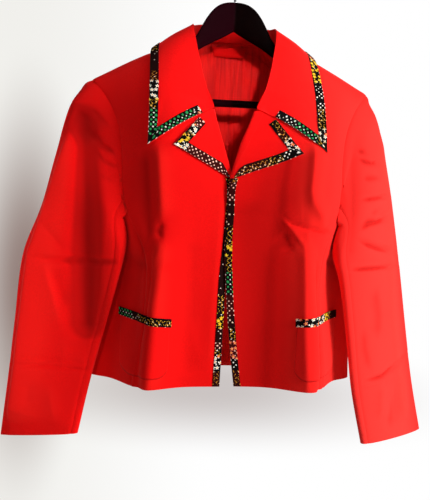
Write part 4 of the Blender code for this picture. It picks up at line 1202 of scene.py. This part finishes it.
def collar(s, t):
    """The collar's visible face: s runs from -1 at the left gorge to 1 at the right, t from seam to edge."""
    s, t = (np.array(values, float) for values in np.broadcast_arrays(s, t))
    place = (1 - abs(s)) * (len(COLLAR) - 1)
    keys = list(range(len(COLLAR)))
    table = np.array(COLLAR, float) * MM
    seam, fold, outer = (smooth(keys, table[:, k:k + 3], place) for k in (0, 3, 6))
    over = np.where(s < 0, *(np.interp(place, keys, FOLD_OVER[side]) for side in SIDES))
    fold = fold - mm(over, 0, 0)
    out, rise = unit(outer - fold), unit(fold - seam)
    inner_fold = fold - rise * FOLD_ROUND * MM - out * 1.2 * MM
    outer_fold = fold + out * FOLD_ROUND * MM
    belly = mix(outer_fold, outer, 0.5) + mm(0, 0, 3)
    found = smooth(COLLAR_KEYS, np.stack([seam, inner_fold, fold, outer_fold, belly, outer]), t)
    share = np.clip((t - FOLD_T) / (1 - FOLD_T), 0, 1)
    flat = np.array((1, 0, 1))
    notch = np.broadcast_to(mm(NOTCH_X, 0, NOTCH_Z + 0.5), fold.shape)
    bent = kink(fold * flat, notch, outer * flat, share) * (1 - place)[:, None]
    found += np.where(((place < 1) & (t > FOLD_T))[:, None], bent, 0)
    found *= np.stack((np.sign(s + 1e-9), np.ones(s.size), np.ones(s.size)), axis=-1)
    lift = mix(LAPEL_LIFT, 3.4, share) * MM
    for side, sign in SIDES.items():
        low = (place < 3) & (t > FOLD_T) & (np.sign(s + 1e-9) == sign)
        if low.any():
            found[low] = clear_of_front(side, found[low], lift[low])
    return found


def lapel_surface(side):
    """The turned-out lapel: s runs down the roll line from the gorge to the break, t out to the edge."""
    sign = SIDES[side]
    last = ROLL[-1]
    line = np.array([(getattr(row, side + "_x"), 0, row.z) for row in ROLL], float) * MM
    root_line = np.array([(getattr(row, side + "_root"), 0, row.z) for row in ROLL], float) * MM
    point = mm(LAPEL_POINTS[side][0], 0, LAPEL_POINTS[side][1])
    tail = mm(getattr(last, side + "_x") + 1.5, 0, last.z + 0.5)

    def surface(s, t):
        s, t = (np.array(values, float) for values in np.broadcast_arrays(s, t))
        roll = smooth(ROLL_KEYS, line, s)
        edge = mix(point, tail, s[:, None])
        share = np.maximum((t - LAPEL_KEYS[3]) / (1 - LAPEL_KEYS[3]), 0)
        start = roll + mm(1.5, 0, -0.8)
        flat = mix(start, edge, share[:, None])
        notch = np.broadcast_to(mm(NOTCH_X, 0, NOTCH_Z - 3.0), flat.shape)
        flat = flat + kink(start, notch, edge, share) * np.maximum(1 - s / 0.3, 0)[:, None]
        lift = mix(LAPEL_LIFT, 2.6, share) * MM
        top = on_front(side, flat[:, 0] * sign, flat[:, 2], lift)
        turning = t < LAPEL_KEYS[3]
        if turning.any():
            roll, s = roll[turning], s[turning]
            under = smooth(ROLL_KEYS, root_line, s)
            root = on_front(side, (under[:, 0] + 2 * MM) * sign, under[:, 2] - 0.8 * MM, 0)
            fade = 1 - s ** 3
            behind = root[:, 1] + (1.8 + mix(1.8, 3.2, fade)) * MM
            low_z = roll[:, 2] - 0.8 * MM
            rows = [np.stack(((line_x + out * MM) * sign, deep, low_z), axis=-1) for line_x, out, deep in (
                (under[:, 0], 5, behind + 0.4 * MM), (roll[:, 0], -1.8, behind - 1.2 * fade * MM),
                (roll[:, 0], -3.6, root[:, 1] - 1.6 * MM))]
            top[turning] = smooth(LAPEL_KEYS, np.stack(rows + [top[turning]]), t[turning])
        return top
    return surface


def make_collar():
    points = grid_of(lambda s, t: collar(2 * s - 1, t), across=220, along=60)
    t = shares(0, 1, 60)[:, None]
    # slight waves, none of them at the collar's edge
    height = fold_height(points, COLLAR_FOLDS) * np.clip((1 - t) / 0.25, 0, 1) * np.clip((t - 0.34) / 0.1, 0, 1)
    sheet("collar", "wool", points, "collar_cloth", height=height, rim=0.6)


def make_lapel(side):
    surface = lapel_surface(side)
    points = grid_of(lambda s, t: surface(t * LAPEL_END, s), across=56, along=60)
    sheet("lapel_" + side, "wool", points, "cloth", flip=side == "right",
          rim=0.6)


# ---- Pockets ----

def pocket_spot(side, x, z, lift):
    return on_front(side, x * MM * SIDES[side], z * MM, lift, top_u=U_SIDE)


def mouth_of(row, x):
    """How high a pocket's slanting mouth is at this x."""
    return mix(row.inner_top, row.outer_top, (x - row.inner) / (row.outer - row.inner))


def make_pocket(side):
    """A patch pocket with rounded lower corners."""
    row = POCKETS[side]

    def place(s, t):
        x = mix(row.outer, row.inner, eased(s, 0.6))
        near = np.minimum(np.minimum(x - row.inner, row.outer - x), POCKET_CORNER)
        rise = POCKET_CORNER - np.sqrt(POCKET_CORNER**2 - (POCKET_CORNER - near)**2)
        return pocket_spot(side, x, mix(row.bottom + rise, mouth_of(row, x) - 1.0, t), 0.15 * MM)
    points = grid_of(place, across=60, along=50)
    # the dip along the pocket's edges is taken eight times over for the painted shade, which draws a dark painted line
    # round the pocket
    sheet("pocket_" + side, "wool", points, "pocket_cloth", flip=side == "right", offset=1.0,
          rim=0.5,
          height=roll_in(points, ("start", "end", "low"), 0.9, 1.8), painted_fold_light_gain=8.0)


# ---- Printed trim ----

def slopes(surface, a, b, low):
    """How the surface moves with a and with b, measured inside its own edges."""
    h = 2e-3
    high_a, low_a = np.minimum(a + h, 1), np.maximum(a - h, low)
    high_b, low_b = np.minimum(b + h, 1), np.maximum(b - h, 0)
    right, left, up, down = np.split(surface(np.concatenate((high_a, low_a, a, a)),
                                             np.concatenate((b, b, high_b, low_b))), 4)
    return (right - left) / (high_a - low_a)[:, None], (up - down) / (high_b - low_b)[:, None]


def facing_of(surface, a, b, low, sign):
    across, along = slopes(surface, a, b, low)
    return unit(np.cross(across, along)) * sign


def pull_in(surface, a, b, low, target):
    """The places on the surface nearest to the targets, from a first guess."""
    for _ in range(6):
        da, db = slopes(surface, a, b, low)
        gap = target - surface(a, b)
        aa, ab, bb = (da * da).sum(-1), (da * db).sum(-1), (db * db).sum(-1)
        turn = np.maximum(aa * bb - ab * ab, 1e-14)
        a_gap, b_gap = (gap * da).sum(-1), (gap * db).sum(-1)
        a = np.clip(a + np.clip((a_gap * bb - b_gap * ab) / turn, -0.05, 0.05), low, 1)
        b = np.clip(b + np.clip((b_gap * aa - a_gap * ab) / turn, -0.08, 0.08), 0, 1)
    return a, b


def band(surface, route, lift, low, sign, hand, floor, across, per_step):
    """The points of a strip along a route of places on a surface, lifted off it and mitred at the corners.

    The surface's first share starts from low. The sign turns its normal outward, and the hand says which
    side of the route is the inner one.
    """
    route = np.array(route, float)
    a, b = route[:, 0], route[:, 1]
    points = surface(a, b)
    step = np.diff(points, axis=0)
    before, after = np.vstack((step[:1], step)), np.vstack((step, step[-1:]))
    normal = facing_of(surface, a, b, low, sign)
    half = (np.cross(normal, unit(before)) + np.cross(normal, unit(after))) / 2 * hand
    target = points + half * (sizes().collar_trim / (half * half).sum(-1))[:, None]
    inner_a, inner_b = pull_in(surface, a.copy(), b.copy(), low, target)
    inner_b = np.maximum(inner_b, floor)
    count = (len(route) - 1) * per_step
    at = shares(0, len(route) - 1, count)
    keys = np.arange(len(route))
    share = shares(0, 1, across)[:, None]
    all_a = mix(np.interp(at, keys, a), np.interp(at, keys, inner_a), share).ravel()
    all_b = mix(np.interp(at, keys, b), np.interp(at, keys, inner_b), share).ravel()
    found = surface(all_a, all_b) + facing_of(surface, all_a, all_b, low, sign) * lift
    return found.reshape(across + 1, count + 1, 3)


def strip(node, points, prints, flip):
    """A strip of printed trim with a raised roll along both of its folded edges."""
    roll = 0.25 * np.sin(np.pi * shares(0, 1, points.shape[0] - 1)) ** 0.5 * MM
    sheet(node, "print", points, "trim", flip=flip, offset=1.0, print_rows=prints,
          height=np.repeat(roll[:, None], points.shape[1], axis=1), rim=0.3)


def make_collar_trim():
    """One strip from notch to notch, round both collar points and along the collar's edge."""
    route = [(-1, t) for t in (0.485, 0.57, 0.70, 0.85, 1)] + [(s, 1) for s in shares(-1, 1, 40)[1:-1]]
    route += [(1, t) for t in (1, 0.86, 0.72, 0.60, 0.53)]
    points = band(collar, route, TRIM_LIFT, low=-1, sign=1, hand=-1, floor=-1.0, across=8, per_step=4)
    strip("collar_trim", points, [COLLAR_PRINTS["left"], COLLAR_PRINTS["right"]], True)


def make_lapel_trim(side):
    sign = SIDES[side]
    route = [(0, t) for t in (0.475, 0.6, 0.8, 1)] + [(s, 1) for s in shares(0, LAPEL_TRIM_END, 10)[1:]]
    points = band(lapel_surface(side), route, TRIM_LIFT, low=0, sign=sign, hand=-sign, floor=0.27, across=8,
                  per_step=6)
    strip("lapel_trim_" + side, points, [LAPEL_PRINTS[side]], sign > 0)


def make_front_trim(side):
    """The strip down a front edge, from the break to the hem."""
    top = RISE[len(LEVELS)] + 0.006

    def place(s, t):
        v = mix(0.001, top, s)
        reach = np.linalg.norm(body(side, 0.04, v) - body(side, 0, v), axis=-1) / 0.04
        return folded_body(side, mix(0.0002, sizes().front_trim / reach, t), v, TRIM_LIFT)
    strip("front_trim_" + side, grid_of(place, across=160, along=8), [FRONT_PRINTS[side]], side == "right")


def make_pocket_trim(side):
    """The strip over a pocket's mouth, a little wider than the pocket."""
    row = POCKETS[side]

    def place(s, t):
        x = mix(row.outer + TRIM_OVERHANG, row.inner - TRIM_OVERHANG, s)
        down = (1 - t) * sizes().pocket_trim / MM
        return pocket_spot(side, x, mouth_of(row, x) - down, sizes().pocket_cloth + TRIM_LIFT)
    strip("pocket_trim_" + side, grid_of(place, across=50, along=8), [POCKET_PRINTS[side]], side == "right")


# ---- Inside the neck ----

# The lining's grid: how many rows and columns the whole back has, the last column and row that the lining fills,
# and the last row that is level. The rows above that one rise toward the nape.
LINING_GRID, LINING_LAST_COLUMN, LINING_LAST_ROW, LINING_LEVEL_ROW = 18, 17, 16, 13
LINING_DEPTH = 1.8 * MM
# The loop: where it is sewn on across the back, how far it stands off, and how far its middle bows out and drops
LOOP_START, LOOP_ROOM, LOOP_BOW, LOOP_DROP = 0.44, 7.0, 2.6, 1.5


def to_shoulder(row):
    """How far up the body a row of the lining is, the rows being shorter toward the shoulder seam."""
    share, bend = row / LINING_GRID, (LINING_GRID - 3) / LINING_GRID
    low = RISE[ROWS - 2] * (share / bend + 0.13 * np.sin(np.pi * np.minimum(share / bend, 1)))
    high = mix(RISE[ROWS - 2], 1, np.clip((share - bend) / (1 - bend), 0, 1) ** 0.5)
    return np.where(share <= bend, low, high)


def make_back_lining():
    """The satin that shows inside the back, in soft upright folds."""
    def place(s, t):
        share = eased(mix(1, LINING_LAST_COLUMN, s) / LINING_GRID, 0.35)
        u = mix(1, U_BACK_SEAM, abs(2 * share - 1))
        row = t * LINING_LAST_ROW
        over = np.maximum(row - LINING_LEVEL_ROW, 0) / (LINING_LAST_ROW - LINING_LEVEL_ROW)
        low = mix(to_shoulder(np.minimum(row, LINING_LEVEL_ROW)), to_shoulder(LINING_LEVEL_ROW + 1), over)
        high = np.minimum(to_shoulder(row), 0.985)
        v = mix(low, high, np.clip((u - 0.85) / 0.1, 0, 1))
        normal = outward(lambda a, b: body("right", a, b), np.minimum(u, 0.995), v, 1)
        normal[:, 0] *= np.where(share < 0.5, -1, 1)
        return across_back(share, v) - normal * (LINING_DEPTH + LINING_ROOM)
    points = grid_of(place, across=120, along=120)
    x, z = points[..., 0] / MM, points[..., 2] / MM
    lift = np.clip((-118 - z) / 40, 0, 1) * np.clip((130 - abs(x)) / 30, 0, 1)
    waves = 0.5 * np.sin(x / 7.0 + 1.1 * np.sin(z / 60)) + 0.4 * np.sin(x / 4.1 + 0.8 * np.sin(z / 34) + 1)
    sheet("back_lining", "satin", points, "lining", flip=True, height=waves * lift * MM,
          rim=0.2)


def make_hanging_loop():
    """A short strip of the red cloth inside the back neck, bowed a little off the lining."""
    top_row = RISE[ROWS - 2]

    def place(s, t):
        bow = np.sin(np.pi * s)
        end = across_back(np.full_like(s, LOOP_START), mix(top_row - 0.004, mix(top_row, 1, 0.75), t))
        line = np.stack((mix(end[:, 0], -end[:, 0], s), end[:, 1], end[:, 2]), axis=-1)
        return line - mm(0, LOOP_ROOM + LOOP_BOW * bow, LOOP_DROP * bow)
    points = grid_of(place, across=40, along=8)
    sheet("hanging_loop", "wool", points, "lining", height=roll_in(points, ("low", "high"), 0.5, 1.5),
          rim=0.2)


# ---- Hanger ----

def link(name, grid, stands_for):
    """A rigid piece of the hanger's plastic from a bmesh."""
    mesh = bpy.data.meshes.new(name)
    grid.to_mesh(mesh)
    grid.free()
    mesh.materials.append(finish_of("plastic"))
    smooth_faces(mesh)
    return piece(name, mesh, stands_for, "dark_plastic")


def make_hanger_body():
    """The moulded arms: nearly flat faces that meet in an upright edge at the middle, with rounded borders."""
    half = np.array(HANGER, float)
    x = np.unique(np.concatenate((half[:, 0], np.arange(0, 193, 3.0))))
    top, bottom, forward = (np.interp(x, half[:, 0], half[:, k]) for k in (1, 2, 3))
    crest = half[:CREST_ROWS]
    curve = np.polynomial.Polynomial.fit(np.concatenate((-crest[:, 0], crest[1:, 0])),
                                         np.concatenate((crest[:, 1], crest[1:, 1])), 6)
    share = np.clip((x - CREST_END + CREST_FADE) / CREST_FADE, 0, 1)
    top = np.where(x < CREST_END, mix(curve(x), top, share), top)
    x = np.concatenate((-x[:0:-1], x))
    top, bottom, forward = (np.concatenate((row[:0:-1], row)) for row in (top, bottom, forward))
    grid = bmesh.new()
    bmesh.ops.create_grid(grid, x_segments=len(x) - 1, y_segments=SLAB_AROUND, size=0.5)
    for point in grid.verts:
        k = round((point.co.x + 0.5) * (len(x) - 1))
        angle = 2 * math.pi * round((point.co.y + 0.5) * SLAB_AROUND) / SLAB_AROUND
        side, up = math.cos(angle), math.sin(angle)
        tall = (top[k] - bottom[k]) / 2
        wide = math.copysign(abs(side) ** SLAB_POWER, side) * HANGER_THICK / 2
        high = math.copysign(abs(up) ** SLAB_POWER, up) * tall
        if abs(up) > 0.6 and tall > 12:
            high = math.copysign(tall - SLAB_BORDER * (1 - abs(up)) ** 0.8, up)
        point.co = Vector((x[k], forward[k] + wide, (top[k] + bottom[k]) / 2 + high)) * MM
    bmesh.ops.remove_doubles(grid, verts=grid.verts, dist=1e-6)
    bmesh.ops.holes_fill(grid, edges=grid.edges)
    bmesh.ops.recalc_face_normals(grid, faces=grid.faces)
    link("hanger_body_plastic", grid, "hanger_body")


def make_hanger_bar():
    """The trouser bar, a round rod with a fine parting line of the mould along it."""
    grid = bmesh.new()
    bmesh.ops.create_cone(grid, cap_ends=True, segments=48, radius1=BAR_RADIUS * MM, radius2=BAR_RADIUS * MM,
                          depth=2 * BAR_END * MM)
    for point in grid.verts:
        x, y = point.co.x, point.co.y
        proud = 1.03 if abs(x) < 0.2 * MM else 1.0
        point.co = Vector((point.co.z, y * proud, -x + BAR_Z * MM))
    bmesh.ops.recalc_face_normals(grid, faces=grid.faces)
    soften(link("hanger_bar_plastic", grid, "hanger_bar"), "Soft ends", 0.5, 50)


def make_hanger_hook():
    """A plain wire hook: a stem out of the crest and an arc whose inside top is the origin."""
    reach = HOOK_RADIUS + WIRE_RADIUS
    route = [(0, HANGER[0].y, HOOK_STEM), (0, HANGER[0].y - 1, HOOK_STEM + 4)]
    for k in range(HOOK_STEPS + 1):
        angle = math.radians(mix(HOOK_FROM, HOOK_TO, k / HOOK_STEPS))
        route.append((reach * math.cos(angle), 0, reach * math.sin(angle) - HOOK_RADIUS))
    wire = bpy.data.curves.new("hanger_hook_wire", "CURVE")
    wire.dimensions = "3D"
    wire.bevel_depth = WIRE_RADIUS * MM
    wire.bevel_resolution = 6
    wire.use_fill_caps = True
    spline = wire.splines.new("POLY")
    spline.points.add(len(route) - 1)
    for point, at in zip(spline.points, route):
        point.co = (at[0] * MM, at[1] * MM, at[2] * MM, 1)
    spline.use_smooth = True
    wire.materials.append(finish_of("steel"))
    piece("hanger_hook_wire", wire, "hanger_hook", "steel_wire")


# ---- Studio ----

# Where the picture was taken from: a little to the left, level with the chest, and leaning
CAMERA_PLACE = (-0.1932, -1.373, -0.328)
CAMERA_AZIMUTH, CAMERA_ELEVATION, CAMERA_ROLL = -7.38, 4.19, 2.42
CAMERA_LENS, CAMERA_SENSOR = 64.8, 36

# The lights: the setting that gives a light's power and how often it is taken, its size, where it stands and
# what it looks at, its colour and how far it spreads
Light = namedtuple("Light", "name setting gain width height place target colour spread")
CHEST, NAPE, LEFT_SLEEVE = (0.0, -0.05, -0.40), (0.0, 0.05, -0.20), (-0.295, 0.0, -0.46)
WARM, COOL = (1.0, 0.98, 0.95), (0.96, 0.98, 1.0)
LIGHTS = [
    Light("key_light", "key", 1.0, 1.0, 1.0, (1.78, -1.38, 0.08), CHEST, WARM, 180),
    Light("fill_light", "fill", 1.0, 1.6, 1.6, (-1.3, -1.1, 1.1), CHEST, COOL, 180),
    Light("window_light", "window", 1.0, 1.4, 1.4, (2.1, -0.55, 0.25), CHEST, WARM, 180),
    Light("neck_light", "neck", 1.0, 0.15, 0.15, (0.20, -1.35, 0.28), NAPE, WARM, 11),
    Light("sleeve_light", "sleeve", 1.0, 0.06, 0.5, (-0.62, -1.72, -0.42), LEFT_SLEEVE, WARM, 12),
    Light("back_light", "fill", 3.4, 1.6, 1.6, (0.9, 1.9, 0.7), CHEST, WARM, 180),
]

# The soft shade that the jacket throws on the pale wall: to the left of its sleeve, and under its hem. Its
# middle and reach are along the ray's x and z.
Shade = namedtuple("Shade", "x z wide tall depth")
SHADES = [Shade(-0.078, -0.115, 0.062, 0.21, 0.85), Shade(0.12, -0.222, 0.23, 0.062, 0.5)]
FLOOR_Z, FLOOR_REACH = -1.4, 1.5


def make_lights():
    for row in LIGHTS:
        light = bpy.data.lights.new(row.name, "AREA")
        light.shape = "RECTANGLE"
        light.size, light.size_y = row.width, row.height
        light.spread = math.radians(row.spread)
        light.energy = getattr(bpy.context.scene.jacket_studio, row.setting) * row.gain
        light.color = row.colour
        made = bpy.data.objects.new(row.name, light)
        made.location = row.place
        made.rotation_euler = (Vector(row.target) - made.location).to_track_quat("-Z", "Y").to_euler()
        bpy.context.scene.collection.objects.link(made)


def make_camera():
    azimuth, elevation, roll = (math.radians(angle) for angle in (CAMERA_AZIMUTH, CAMERA_ELEVATION, CAMERA_ROLL))
    ahead = Vector((-math.sin(azimuth) * math.cos(elevation), math.cos(azimuth) * math.cos(elevation),
                    -math.sin(elevation)))
    level = Vector((math.cos(azimuth), math.sin(azimuth), 0))
    up = level.cross(ahead)
    right = math.cos(roll) * level + math.sin(roll) * up
    top = -math.sin(roll) * level + math.cos(roll) * up
    lens = bpy.data.cameras.new("camera")
    lens.sensor_fit = "VERTICAL"
    lens.sensor_height = CAMERA_SENSOR
    lens.lens = CAMERA_LENS
    lens.clip_start = 0.01
    made = bpy.data.objects.new("camera", lens)
    made.matrix_world = Matrix.Translation(CAMERA_PLACE) @ Matrix((right, top, -ahead)).transposed().to_4x4()
    bpy.context.scene.collection.objects.link(made)
    bpy.context.scene.camera = made


def make_world():
    """A pale backdrop, a little greyer at the left, and a dim even light from it."""
    settings = bpy.context.scene.jacket_studio
    world = bpy.data.worlds.new("pale studio")
    world.use_nodes = True
    world.node_tree.nodes.clear()
    nodes = Nodes(world.node_tree)
    x, y, z = nodes.split(nodes.place("Generated"))
    pale = nodes.blend(nodes.ramp(x, -0.10, 0.14), rgba(tone("#F1F0EC")), rgba(settings.wall))
    for row in SHADES:
        off = [nodes.calc("POWER", nodes.calc("DIVIDE", nodes.minus(part, middle), size), 2.0)
               for part, middle, size in ((x, row.x, row.wide), (z, row.z, row.tall))]
        shade = nodes.ramp(nodes.calc("SQRT", nodes.plus(*off)), 1.25, 0.1)
        shade = nodes.times(nodes.times(shade, nodes.calc("GREATER_THAN", y, 0.5)), row.depth)
        pale = nodes.blend(shade, pale, rgba(settings.wall_shade))
    seen = nodes.add("Background", {"Color": pale, "Strength": 1.0})
    dim = nodes.add("Background", {"Color": (1.0, 0.97, 0.95, 1.0), "Strength": 0.16})
    straight = nodes.add("LightPath").outputs["Is Camera Ray"]
    both = nodes.add("MixShader", {0: straight, 1: dim.outputs[0], 2: seen.outputs[0]})
    nodes.add("OutputWorld", {"Surface": both.outputs[0]})
    bpy.context.scene.world = world


def make_floor():
    """A plain pale floor well under the jacket."""
    settings = bpy.context.scene.jacket_studio
    grid = bmesh.new()
    bmesh.ops.create_grid(grid, x_segments=1, y_segments=1, size=FLOOR_REACH)
    bmesh.ops.translate(grid, verts=grid.verts, vec=(0, 0, FLOOR_Z))
    mesh = bpy.data.meshes.new("floor")
    grid.to_mesh(mesh)
    grid.free()
    paint = Finish("pale painted floor", Roughness=0.9)
    cloud = paint.noise(paint.place(), 3.0, 3.0)
    mesh.materials.append(paint.give(Base_Color=paint.blend(cloud, rgba(settings.floor, 0.97),
                                                            rgba(settings.floor))))
    floor = bpy.data.objects.new("floor", mesh)
    bpy.context.scene.collection.objects.link(floor)
    floor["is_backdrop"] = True


# ---- Operators ----

class JACKET_OT_body(bpy.types.Operator):
    """Make the wool fronts, side panels and back"""
    bl_idname = "jacket.body"
    bl_label = "Body"

    def execute(self, context):
        for side in SIDES:
            make_front(side)
            make_side_panel(side)
        make_back()
        return {"FINISHED"}


class JACKET_OT_sleeves(bpy.types.Operator):
    """Make both sleeves, each of an upper and an under piece"""
    bl_idname = "jacket.sleeves"
    bl_label = "Sleeves"

    def execute(self, context):
        for side in SIDES:
            make_sleeve(side)
        return {"FINISHED"}


class JACKET_OT_collar(bpy.types.Operator):
    """Make the collar and both lapels"""
    bl_idname = "jacket.collar"
    bl_label = "Collar and lapels"

    def execute(self, context):
        make_collar()
        for side in SIDES:
            make_lapel(side)
        return {"FINISHED"}


class JACKET_OT_pockets(bpy.types.Operator):
    """Make the two patch pockets"""
    bl_idname = "jacket.pockets"
    bl_label = "Pockets"

    def execute(self, context):
        for side in SIDES:
            make_pocket(side)
        return {"FINISHED"}


class JACKET_OT_trim(bpy.types.Operator):
    """Make the strips of printed trim"""
    bl_idname = "jacket.trim"
    bl_label = "Printed trim"

    def execute(self, context):
        make_collar_trim()
        for side in SIDES:
            make_lapel_trim(side)
            make_front_trim(side)
            make_pocket_trim(side)
        return {"FINISHED"}


class JACKET_OT_inside(bpy.types.Operator):
    """Make the satin back lining and the hanging loop"""
    bl_idname = "jacket.inside"
    bl_label = "Lining and loop"

    def execute(self, context):
        make_back_lining()
        make_hanging_loop()
        return {"FINISHED"}


class JACKET_OT_hanger(bpy.types.Operator):
    """Make the plastic hanger, its bar and its wire hook"""
    bl_idname = "jacket.hanger"
    bl_label = "Hanger"

    def execute(self, context):
        make_hanger_body()
        make_hanger_bar()
        make_hanger_hook()
        return {"FINISHED"}


class JACKET_OT_studio(bpy.types.Operator):
    """Make the floor, the backdrop, the lights and the camera"""
    bl_idname = "jacket.studio"
    bl_label = "Studio"

    def execute(self, context):
        context.scene.view_settings.view_transform = "Standard"
        make_camera()
        make_world()
        make_floor()
        make_lights()
        return {"FINISHED"}


class JACKET_PT_panel(bpy.types.Panel):
    """Buttons and settings for the jacket"""
    bl_label = "Trachten Jacket"
    bl_idname = "JACKET_PT_panel"
    bl_space_type = "VIEW_3D"
    bl_region_type = "UI"
    bl_category = "Jacket"

    def draw(self, context):
        for operator in OPERATORS:
            self.layout.operator(operator.bl_idname)
        for settings in (context.scene.jacket_sizes, context.scene.jacket_colours, context.scene.jacket_studio):
            box = self.layout.box()
            for name in settings.__annotations__:
                box.prop(settings, name)


OPERATORS = (JACKET_OT_body, JACKET_OT_sleeves, JACKET_OT_collar, JACKET_OT_pockets, JACKET_OT_trim,
             JACKET_OT_inside, JACKET_OT_hanger, JACKET_OT_studio)
GROUPS = {"jacket_sizes": JacketSizes, "jacket_colours": JacketColours, "jacket_studio": StudioSettings}


def register():
    for group in GROUPS.values():
        bpy.utils.register_class(group)
    for name, group in GROUPS.items():
        setattr(bpy.types.Scene, name, bpy.props.PointerProperty(type=group))
    for operator in OPERATORS:
        bpy.utils.register_class(operator)
    bpy.utils.register_class(JACKET_PT_panel)


def unregister():
    bpy.utils.unregister_class(JACKET_PT_panel)
    for operator in reversed(OPERATORS):
        bpy.utils.unregister_class(operator)
    for name, group in GROUPS.items():
        delattr(bpy.types.Scene, name)
        bpy.utils.unregister_class(group)


def main():
    register()
    for operator in OPERATORS:
        group, name = operator.bl_idname.split(".")
        getattr(getattr(bpy.ops, group), name)()
    [[list(corner) for corner in box] for box in (CAD_BOX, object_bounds())]


if __name__ == "__main__":
    main()
